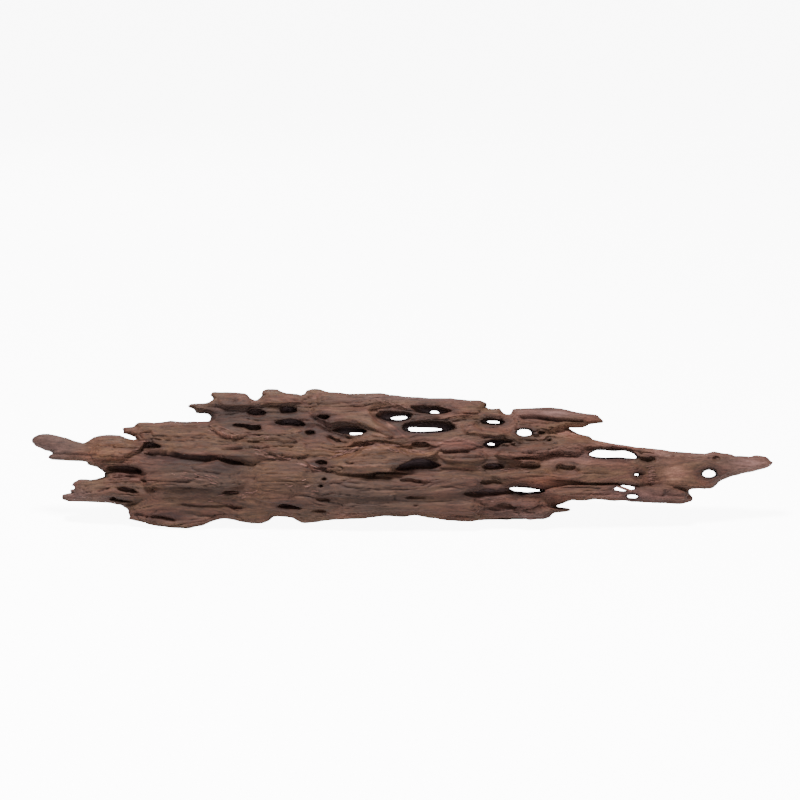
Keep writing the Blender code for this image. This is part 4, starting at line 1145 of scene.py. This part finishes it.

# %% [markdown]
# ## Colour zones
# The wood isn't one brown. It is tan on the raised ridges, grey on the low band, red in the fresh breaks,
# pink and pale on the worn tips, and painted darker, as shade, where layers lie deeper. Each zone is a few
# soft spots, given like the rough places, and a noise breaks them up so that no spot shows as an oval.

# %% Colour zones
ZONES = {
    "tan": [(-30, 60, 42, 11, 1.0), (-105, 42, 26, 24, 0.8), (-235, 66, 28, 8, 0.6),
        (-175, 72, 40, 10, 0.5), (100, 48, 40, 7, 0.5), (215, 45, 18, 12, 0.45), (160, 72, 30, 6, 0.5)],
    "grey": [(-165, 36, 40, 16, 0.9), (-30, 26, 60, 18, 1.0), (-135, 97, 30, 8, 0.7),
        (20, 88, 30, 6, 0.5), (50, 25, 30, 12, 0.6), (47, 66, 16, 5, 1.2), (-285, 66, 22, 12, 0.8)],
    "red": [(95, 18, 36, 12, 0.9), (195, 27, 42, 7, 0.9), (105, 32, 34, 6, 0.9), (-218, 44, 16, 6, 0.9),
        (85, 62, 40, 7, 0.5), (-178, 58, 34, 4, 0.9), (120, 60, 30, 8, 0.5), (-20, 95, 50, 5, 0.4),
        (47, 66.5, 20, 6, 1.3), (-190, 10, 26, 5, 0.6), (-90, 20, 30, 6, 0.5), (20, 38, 40, 4, 0.5)],
    "pale": [(219, 45, 9, 8, 0.8), (285, 52, 16, 9, 0.5), (-42, 11, 10, 2, 0.6),
        (-24, 66.5, 26, 2.2, 0.7), (-48, 59.5, 10, 2.5, 0.6), (16, 60, 12, 1.5, 0.5),
        (-232, 66, 18, 4, 0.3), (42, 69, 14, 2.5, 0.3), (160, 26, 60, 5, 0.3), (152, 88, 8, 3, 0.4),
        (120, 93, 28, 3, 0.25), (137, 78, 16, 5, 0.85), (174, 69, 18, 5, 1.1), (203, 62, 12, 4, 0.6),
        (240, 60, 18, 4, 0.25), (-236, 60, 18, 5, 0.6), (113, 36, 16, 6, 0.9), (-199, 37, 12, 5, 0.35),
        (40, 92, 14, 4, 0.25), (140, 57, 40, 6, 0.25), (140, 44, 44, 4, 0.12), (238, 34, 10, 5, 0.2),
        (178, 66.5, 14, 3, 1.0)],
    # pink is the worn tips' own tone; the pink streaks along the top edge and the blade's upper edge are
    # painted highlight
    "pink": [(219, 45, 14, 10, 0.4), (-285, 66, 26, 12, 0.6), (280, 52, 26, 10, 1.0),
        (-262, 26, 14, 8, 0.9), (125, 93, 34, 4, 0.9), (20, 105, 60, 3, 0.8), (190, 26, 45, 7, 0.6),
        (100, 10, 24, 5, 0.7), (-245, 24, 20, 4, 0.5), (174, 69, 20, 5, 0.8), (205, 61, 14, 4, 0.7),
        (137, 78, 14, 4, 0.6), (240, 59, 20, 5, 0.5), (258, 37, 10, 5, 0.4), (140, 58, 40, 7, 0.4)],
    # painted shade where layers lie deeper
    "shaded": [(-142, 90, 20, 7, 1.4), (-63, 82, 17, 9, 0.9), (-182, 53, 18, 6, 1.1),
        (-141, 49, 18, 6, 0.85), (-76, 51, 16, 6, 0.9), (-170, 12, 24, 5, 0.7), (0, 78, 14, 5, 0.9),
        (-100, 90, 16, 7, 0.65), (-120, 60, 16, 7, 0.55), (-20, 52, 14, 5, 0.4), (200, 24, 16, 4, 0.4),
        (60, 58, 14, 4, 0.35), (60, 40, 16, 6, 0.35), (-60, 102, 34, 5, 0.3), (-90, 74, 40, 6, 0.35),
        (-10, 71, 20, 4, 0.3)],
}
mottle = 0.6 + 0.8 * noise(x / 22, v / 5, w / 12, 21)
masks = {name: np.clip(reach_of(spots, mottle), 0, 1) for name, spots in ZONES.items()}
# painted shade: below steps, in grooves and cracks, under overhangs, round openings and in shaded spots
masks["crack"] = np.clip(dark + masks.pop("shaded") * (w > 0), 0, 1)
# painted shade, deeper with the depth in a hollow
masks["hollow"] = ease(4.0, 15.0, depth_in)
masks["pink"] = np.maximum(masks["pink"], 0.7 * pale_lip)
masks["pale"] = np.maximum(masks["pale"], pale_lip)
for name, mask in masks.items():
    print(name, "covers", round(float((mask > 0.3).mean()), 3))

# %% [markdown]
# ## Writing the masks
# A shader can read a value for each point of a mesh as an attribute. One attribute holds each mask, and
# one more holds the bent place of the point, so that the colours follow the grain too.

# %% Attributes
def write_attributes(mesh, values, places):
    for name, mask in values.items():
        made = mesh.attributes.new(name, "FLOAT", "POINT")
        made.data.foreach_set("value", mask.astype(np.float32))
    made = mesh.attributes.new("flow", "FLOAT_VECTOR", "POINT")
    made.data.foreach_set("vector", np.stack(places, axis=1).astype(np.float32).ravel())


write_attributes(wood, masks, (x, bent, w))
print("attributes", [attribute.name for attribute in wood.attributes])

# %% [markdown]
# ## Torn fibres
# Where a layer broke off, short pale fibres stay on the edge. Hair particles would give many more, but
# they hold no solid wood, so here each fibre is a thin closed rod, drawn out along the grain, sunk at one
# end and lifted at the other. Each group has two ends of a line, a spread, a count and a tilt.

# %% Torn fibres
FRAY = [
    ((-154, 82), (-128, 72), 4, 16, -24), ((-118, 62), (-92, 55), 3, 22, -14),
    ((-126, 75), (-104, 72), 3, 9, 4), ((-57, 57), (-34, 65), 1.5, 22, 22),
    ((-30, 67.5), (-4, 67), 2.5, 24, -4), ((0, 63), (24, 60), 1.5, 8, -8),
    ((199.5, 51), (200, 36), 1.0, 18, 2), ((-206, 70), (-214, 61), 1, 9, 8),
    ((-20, 103), (4, 98), 1.5, 9, -26), ((26, 70), (50, 71), 1.5, 6, 4), ((60, 52), (110, 44), 6, 12, 2),
    ((-100, 40), (-60, 30), 8, 12, 0), ((120, 60), (150, 58), 5, 8, 0),
    ((-180, 46), (-148, 38), 7, 16, -18), ((-150, 24), (-116, 30), 5, 10, 12),
    ((-84, 52), (-60, 46), 3, 8, -20), ((104, 75), (116, 72), 3, 6, -10),
    ((-50, 62), (-20, 67), 1.2, 22, 14), ((-10, 64), (4, 60), 1.2, 8, -24),
    ((-60, 12), (-28, 11.5), 1.2, 7, 0), ((60, 28), (84, 22), 5, 9, -8),
]
SPLINTER = ((169.5, 35.4), (185, 29.8), 2.3)  # it crosses the hole that is named after it
FIBRE_MASKS = {"hollow": 0, "crack": 0, "tan": 0, "grey": 0.2, "pink": 0.7, "pale": 0.35, "red": 0}
face_tree = tree_of(wood)


def front_depth(along, up):
    hit = face_tree.ray_cast(Vector((along * MM, -0.2, up * MM)), Vector((0, 1, 0)))[0]
    return None if hit is None else -hit.y / MM


def fibre_rod(bm, start, end, width, lift, stations=6, most=5):
    """A rod between two points of the face, thickest in its middle; none where it would bridge a step."""
    near, far = front_depth(*start), front_depth(*end)
    if near is None or far is None or abs(near - far) > most:
        return
    across = Vector((end[1] - start[1], 0, start[0] - end[0])).normalized()
    corners = (across, Vector((0, 0.7, 0)), -across, Vector((0, -0.7, 0)))
    face = bmesh.ops.create_circle(bm, cap_ends=True, segments=4, radius=1)["verts"][0].link_faces[0]
    for k in range(stations):
        t = k / (stations - 1)
        along, up = start[0] + (end[0] - start[0]) * t, start[1] + (end[1] - start[1]) * t
        depth = near + (far - near) * t
        depth = max(depth, min(front_depth(along, up) or depth, depth + 1)) - 0.15 + lift * t * t
        thick = width / 2 * (0.25 + 0.75 * math.sin(math.pi * (0.15 + 0.7 * t)))
        ring = [(Vector((along, -depth, up)) + corner * thick) * MM for corner in corners]
        if k:
            face = draw_out(bm, face, ring)
        else:
            for vert, place in zip(face.verts, ring):
                vert.co = place


bm = bmesh.new()
for (ax, az), (bx, bz), spread, count, tilt in FRAY:
    for k in range(count):
        t = (k + chance.uniform(0, 1)) / count
        cx = ax + (bx - ax) * t + chance.uniform(-1, 1) * spread
        cz = az + (bz - az) * t + chance.uniform(-1, 1) * spread * 0.6
        angle = math.radians(tilt + chance.gauss(0, 7))
        half = chance.uniform(1.3, 4.2)
        way = chance.choice((-1, 1))
        dx, dz = way * half * math.cos(angle), way * half * math.sin(angle)
        width, lift = chance.uniform(0.5, 1.1), chance.uniform(0.2, 1.3)
        fibre_rod(bm, (cx - dx, cz - dz), (cx + dx, cz + dz), width, lift)
fibre_rod(bm, *SPLINTER, 0, most=20)
bmesh.ops.recalc_face_normals(bm, faces=bm.faces)
fibres = mesh_from(bm, "torn fibres")
places = vectors_of(fibres, "co") / MM
values = {name: np.full(len(places), float(value)) for name, value in FIBRE_MASKS.items()}
write_attributes(fibres, values, (places[:, 0], places[:, 2], -places[:, 1]))
print("fibre faces", len(fibres.polygons))

# %% [markdown]
# ## Leaning the wood back
# The piece was drawn as the camera sees it. To look the same in perspective, its far parts are spread
# away from the far point, and its near parts drawn in. It then leans back on its hidden foot.

# %% Lean
def lean_back(mesh):
    points = vectors_of(mesh, "co") / MM
    reach = (points[:, 1] - FAR_POINT.y) / -FAR_POINT.y
    points[:, 0] = FAR_POINT.x + (points[:, 0] - FAR_POINT.x) * reach
    points[:, 2] = FAR_POINT.z + (points[:, 2] - FAR_POINT.z) * reach
    set_points(mesh, points * MM)
    mesh.transform(Matrix.Rotation(-LEAN, 4, "X"))


lean_back(wood)
lean_back(fibres)
wood.calc_loop_triangles()
count = len(wood.loop_triangles)
print("triangles before thinning", count)

# %% [markdown]
# ## Thinning the skin
# The even skin has far more triangles than a game or a simulation can use. Collapsing edges takes them
# first from flat places. The side turned away from the front is thinned once before the whole is, because
# its detail is never seen as closely.

# %% Thinning
BACK_THINNING = 0.7  # share of the triangles behind that the first pass takes away
turned_away = ease(-0.3, 0.2, normals[:, 1]) * (1 - hollow) > 0.5
full = add_object("full", wood)
behind = full.vertex_groups.new(name="behind")
behind.add([int(i) for i in np.nonzero(turned_away)[0]], 1.0, "REPLACE")
first = 1 - BACK_THINNING * float(turned_away.mean())
wood = cast_mesh(full, [
    ("TRIANGULATE", {}),
    ("DECIMATE", {"decimate_type": "COLLAPSE", "ratio": first, "vertex_group": "behind",
                  "vertex_group_factor": 1.0}),
    ("DECIMATE", {"decimate_type": "COLLAPSE", "ratio": min(1.0, MOST_TRIANGLES / (first * count))}),
])
print("share of points in front", round(float((vectors_of(wood, "normal")[:, 1] < -0.2).mean()), 2))

# %% [markdown]
# ## Setting the wood down
# A piece of wood rests on its lowest bumps, which wear flat. One cut along the floor makes the flats, and
# filling the open rims closes the skin again. The wood and its fibres then move to the middle.

# %% Rest
bm = bmesh.new()
bm.from_mesh(wood)
bmesh.ops.bisect_plane(
    bm, geom=bm.verts[:] + bm.edges[:] + bm.faces[:], dist=1e-7,
    plane_co=(0, 0, FLOOR * MM), plane_no=(0, 0, -1), clear_outer=True, clear_inner=False)
rims = [edge for edge in bm.edges if edge.is_boundary]
bmesh.ops.triangle_fill(bm, edges=rims, use_beauty=True, use_dissolve=False)
bmesh.ops.recalc_face_normals(bm, faces=bm.faces)
bm.to_mesh(wood)
bm.free()
SHIFT = Vector((*TO_MIDDLE, -FLOOR)) * MM
for mesh in (wood, fibres):
    mesh.transform(Matrix.Translation(SHIFT))
    mesh.shade_smooth()
body = add_object("weathered_wood", wood, bpy.context.scene.collection)
frayed = add_object("torn_fibres", fibres, bpy.context.scene.collection)
print("triangles", sum(len(p.vertices) - 2 for p in wood.polygons))
print("size mm", [round(c * 1000, 1) for c in body.dimensions])

# %% [markdown]
# ## Nodes for the look of the wood
# A photograph wrapped round the wood would show seams and one fixed light. The look is made of noise
# instead, drawn out along the grain, in one group of nodes that turns the flow and the masks into colour,
# roughness and height. These helpers add a node, set or link its inputs, and return its output.

# %% Node helpers
MASKS = ("hollow", "tan", "grey", "red", "pink", "pale", "crack")
group = bpy.data.node_groups.new("weathered wood", "ShaderNodeTree")
inputs = [("Flow", "Vector")] + [(name.title(), "Float") for name in MASKS]
for name, kind in inputs:
    group.interface.new_socket(name=name, in_out="INPUT", socket_type="NodeSocket" + kind)
for name, kind in (("Colour", "Color"), ("Roughness", "Float"), ("Height", "Float")):
    group.interface.new_socket(name=name, in_out="OUTPUT", socket_type="NodeSocket" + kind)
nodes, links = group.nodes, group.links
source = nodes.new("NodeGroupInput").outputs
result = nodes.new("NodeGroupOutput").inputs


def feed(socket, value):
    """Links an output to a socket, or sets the socket to a number or a colour."""
    if isinstance(value, bpy.types.NodeSocket):
        links.new(value, socket)
    else:
        socket.default_value = (*value, 1) if isinstance(value, tuple) else value


def fibre(scale_along, scale_across, detail, offset):
    """A noise drawn out along the grain."""
    stretch = nodes.new("ShaderNodeVectorMath")
    stretch.operation = "MULTIPLY_ADD"
    links.new(source["Flow"], stretch.inputs[0])
    stretch.inputs[1].default_value = (scale_along, scale_across, scale_across)
    stretch.inputs[2].default_value = (offset, offset, offset)
    made = nodes.new("ShaderNodeTexNoise")
    feed(made.inputs["Vector"], stretch.outputs[0])
    for name, value in (("Scale", 1.0), ("Detail", detail), ("Roughness", 0.6)):
        feed(made.inputs[name], value)
    return made.outputs["Fac"]


def ramp(value, stops):
    made = nodes.new("ShaderNodeValToRGB")
    while len(made.color_ramp.elements) < len(stops):
        made.color_ramp.elements.new(0.5)
    for element, (place, colour) in zip(made.color_ramp.elements, stops):
        element.position = place
        element.color = (*colour, 1)
    links.new(value, made.inputs["Fac"])
    return made.outputs["Color"]


def blend(kind, factor, a, b):
    made = nodes.new("ShaderNodeMix")
    made.data_type = "RGBA"
    made.blend_type = kind
    for socket, value in ((made.inputs["Factor"], factor), (made.inputs[6], a), (made.inputs[7], b)):
        feed(socket, value)
    return made.outputs[2]


def math_node(kind, a, b):
    made = nodes.new("ShaderNodeMath")
    made.operation = kind
    feed(made.inputs[0], a)
    feed(made.inputs[1], b)
    return made.outputs[0]


print("inputs of the group", [name for name, _ in inputs])

# %% [markdown]
# ## Colour of the wood
# The base is two browns that swap places in slow patches. Each mask mixes in a tone of its own. Dark and
# light threads, specks and blotches are multiplied over it. Painted shade darkens it in cracks and
# grooves, below steps, under overhangs, round openings and in shaded spots, and the hollows fade to one
# dull deep tone, a painted shade, because little light reaches them.

# %% Wood colour
def grey_stops(*stops):
    """Stops of a ramp from (place, brightness)."""
    return [(place, (value, value, value)) for place, value in stops]


patches = fibre(0.035, 0.11, 2, 57.0)
streaks = fibre(0.055, 0.45, 6, 3.0)
threads = fibre(0.11, 1.3, 4, 11.0)
blotches = fibre(0.03, 0.12, 3, 23.0)
specks = fibre(0.25, 0.8, 4, 41.0)


def tones(dark, middle, light):
    return ramp(streaks, [(0.3, dark), (0.5, middle), (0.7, light)])


red_brown = tones((0.027, 0.0090, 0.0052), (0.045, 0.0163, 0.0094), (0.067, 0.027, 0.0172))
olive_brown = tones((0.025, 0.0110, 0.0052), (0.041, 0.0184, 0.0090), (0.064, 0.032, 0.0175))
colour = blend("MIX", ramp(patches, grey_stops((0.42, 0), (0.58, 1))), red_brown, olive_brown)
for name, tone in (
        ("Tan", tones((0.023, 0.0085, 0.0032), (0.036, 0.0144, 0.0058), (0.058, 0.0260, 0.0120))),
        ("Grey", tones((0.020, 0.0098, 0.0064), (0.029, 0.0142, 0.0096), (0.042, 0.0212, 0.0148))),
        ("Red", tones((0.023, 0.0070, 0.0046), (0.038, 0.0128, 0.0085), (0.058, 0.0215, 0.0150))),
        ("Pink", tones((0.032, 0.0150, 0.0125), (0.052, 0.0255, 0.0220), (0.078, 0.041, 0.036)))):
    colour = blend("MIX", source[name], colour, tone)
colour = blend("MULTIPLY", source["Pale"], colour, (2.5, 2.4, 2.3))
for factor, value, stops in (
        (0.65, threads, [(0.33, (0.45, 0.38, 0.38)), (0.47, (1, 1, 1)), (0.62, (1, 1, 1)),
                         (0.74, (1.5, 1.45, 1.35))]),
        (0.7, specks, [(0.34, (0.5, 0.44, 0.44)), *grey_stops((0.46, 0.97), (0.58, 1.02)),
                       (0.7, (1.45, 1.38, 1.3))]),
        (0.6, blotches, [(0.35, (0.68, 0.62, 0.6)), (0.6, (1.05, 1.05, 1.05))])):
    colour = blend("MULTIPLY", factor, colour, ramp(value, stops))
# painted shade multiplied over the colour
colour = blend("MULTIPLY", source["Crack"], colour, (0.42, 0.34, 0.36))
# painted shade deep in the hollows
colour = blend("MIX", source["Hollow"], colour, (0.070, 0.046, 0.049))
feed(result["Colour"], colour)
feed(result["Roughness"], math_node("ADD", math_node("MULTIPLY", threads, 0.25), 0.6))
grain = fibre(0.3, 2.2, 3, 31.0)
height = math_node("ADD", math_node("MULTIPLY", threads, 0.8), math_node("MULTIPLY", grain, 0.7))
feed(result["Height"], height)
print("nodes in the group", len(nodes))

# %% [markdown]
# ## Wood material
# Dry wood has almost no shine, so the specular level is low. The group's height feeds a bump for threads
# that are finer than the triangles. The same material goes on the wood and on its fibres.

# %% Wood material
material = bpy.data.materials.new("weathered wood")
material.use_nodes = True
tree_nodes, tree_links = material.node_tree.nodes, material.node_tree.links
shader = tree_nodes["Principled BSDF"]
shader.inputs["Specular IOR Level"].default_value = 0.22
look = tree_nodes.new("ShaderNodeGroup")
look.node_tree = group
for name, kind in inputs:
    reader = tree_nodes.new("ShaderNodeAttribute")
    reader.attribute_name = name.lower()
    tree_links.new(reader.outputs["Vector" if kind == "Vector" else "Fac"], look.inputs[name])
bump = tree_nodes.new("ShaderNodeBump")
bump.inputs["Strength"].default_value = 0.6
bump.inputs["Distance"].default_value = 0.0008
for start, end in (
        (look.outputs["Height"], bump.inputs["Height"]), (bump.outputs["Normal"], shader.inputs["Normal"]),
        (look.outputs["Colour"], shader.inputs["Base Color"]),
        (look.outputs["Roughness"], shader.inputs["Roughness"])):
    tree_links.new(start, end)
for piece in (body, frayed):
    piece.data.materials.clear()
    piece.data.materials.append(material)
    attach(piece, "root")
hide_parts("honeycomb_wood")
print("pieces", body.name, frayed.name)

# %% [markdown]
# ## Floor
# The wood stands in an all-white studio. A plain pale floor would render grey where less light falls, so
# it also glows, but only where the camera sees it, and the glow lights nothing.

# %% Floor
bm = bmesh.new()
bmesh.ops.create_grid(bm, x_segments=1, y_segments=1, size=40.0)
floor = add_object("floor", mesh_from(bm, "floor"), bpy.context.scene.collection)
paint = bpy.data.materials.new("floor")
paint.use_nodes = True
paint_nodes, paint_links = paint.node_tree.nodes, paint.node_tree.links
coat = paint_nodes["Principled BSDF"].inputs
coat["Base Color"].default_value = (0.8, 0.8, 0.8, 1)
coat["Roughness"].default_value = 0.9
coat["Emission Color"].default_value = (1, 1, 1, 1)
seen = paint_nodes.new("ShaderNodeLightPath")
glow = paint_nodes.new("ShaderNodeMath")
glow.operation = "MULTIPLY"
glow.inputs[1].default_value = 9.0
paint_links.new(seen.outputs["Is Camera Ray"], glow.inputs[0])
paint_links.new(glow.outputs[0], coat["Emission Strength"])
floor.data.materials.append(paint)
floor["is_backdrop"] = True
print("floor size m", round(floor.dimensions.x, 1))

# %% [markdown]
# ## Light
# A soft light high above makes the shadows under the ledges. A weaker one in front keeps the hollows
# readable, one behind lights the holes from inside, and an even white world softens it all.

# %% Light
def area_light(name, place, size, power, target=(0, 0, 0.05)):
    data = bpy.data.lights.new(name, "AREA")
    data.shape = "DISK"
    data.size = size
    data.energy = power
    lamp = bpy.data.objects.new(name, data)
    lamp.location = place
    lamp.rotation_euler = (Vector(target) - Vector(place)).to_track_quat("-Z", "Y").to_euler()
    bpy.context.scene.collection.objects.link(lamp)


area_light("key", (-0.25, -0.5, 1.5), 0.42, 100)
area_light("front fill", (0.5, -1.9, 0.7), 1.0, 22)
area_light("back fill", (-0.6, 1.8, 1.0), 0.8, 24)
world = bpy.data.worlds.new("studio")
bpy.context.scene.world = world
world.use_nodes = True
world.node_tree.nodes["Background"].inputs["Color"].default_value = (1, 1, 1, 1)
world.node_tree.nodes["Background"].inputs["Strength"].default_value = 0.4

# %% [markdown]
# ## Camera
# The camera stands at the far point of the drawing and moves with the wood when it leans and is set down,
# so it sees the outlines just as they were drawn. A long lens keeps the wood nearly flat.

# %% Camera
camera_data = bpy.data.cameras.new("camera")
camera_data.lens = 100
camera_data.sensor_width = 36
camera_data.clip_end = 50
camera = bpy.data.objects.new("camera", camera_data)
bpy.context.scene.collection.objects.link(camera)
camera.matrix_world = (
    Matrix.Translation(SHIFT) @ Matrix.Rotation(-LEAN, 4, "X")
    @ Matrix.Translation(FAR_POINT * MM) @ Matrix.Rotation(math.radians(90), 4, "X"))
bpy.context.scene.camera = camera
print("camera at", [round(c, 3) for c in camera.matrix_world.translation])

# %% [markdown]
# ## Measuring
# The finished wood must fill the same box as the solid model, so the box of the shown pieces is printed.

# %% Measure and finish
low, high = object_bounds()
print("size mm", [round((b - a) * 1000, 1) for a, b in zip(low, high)])
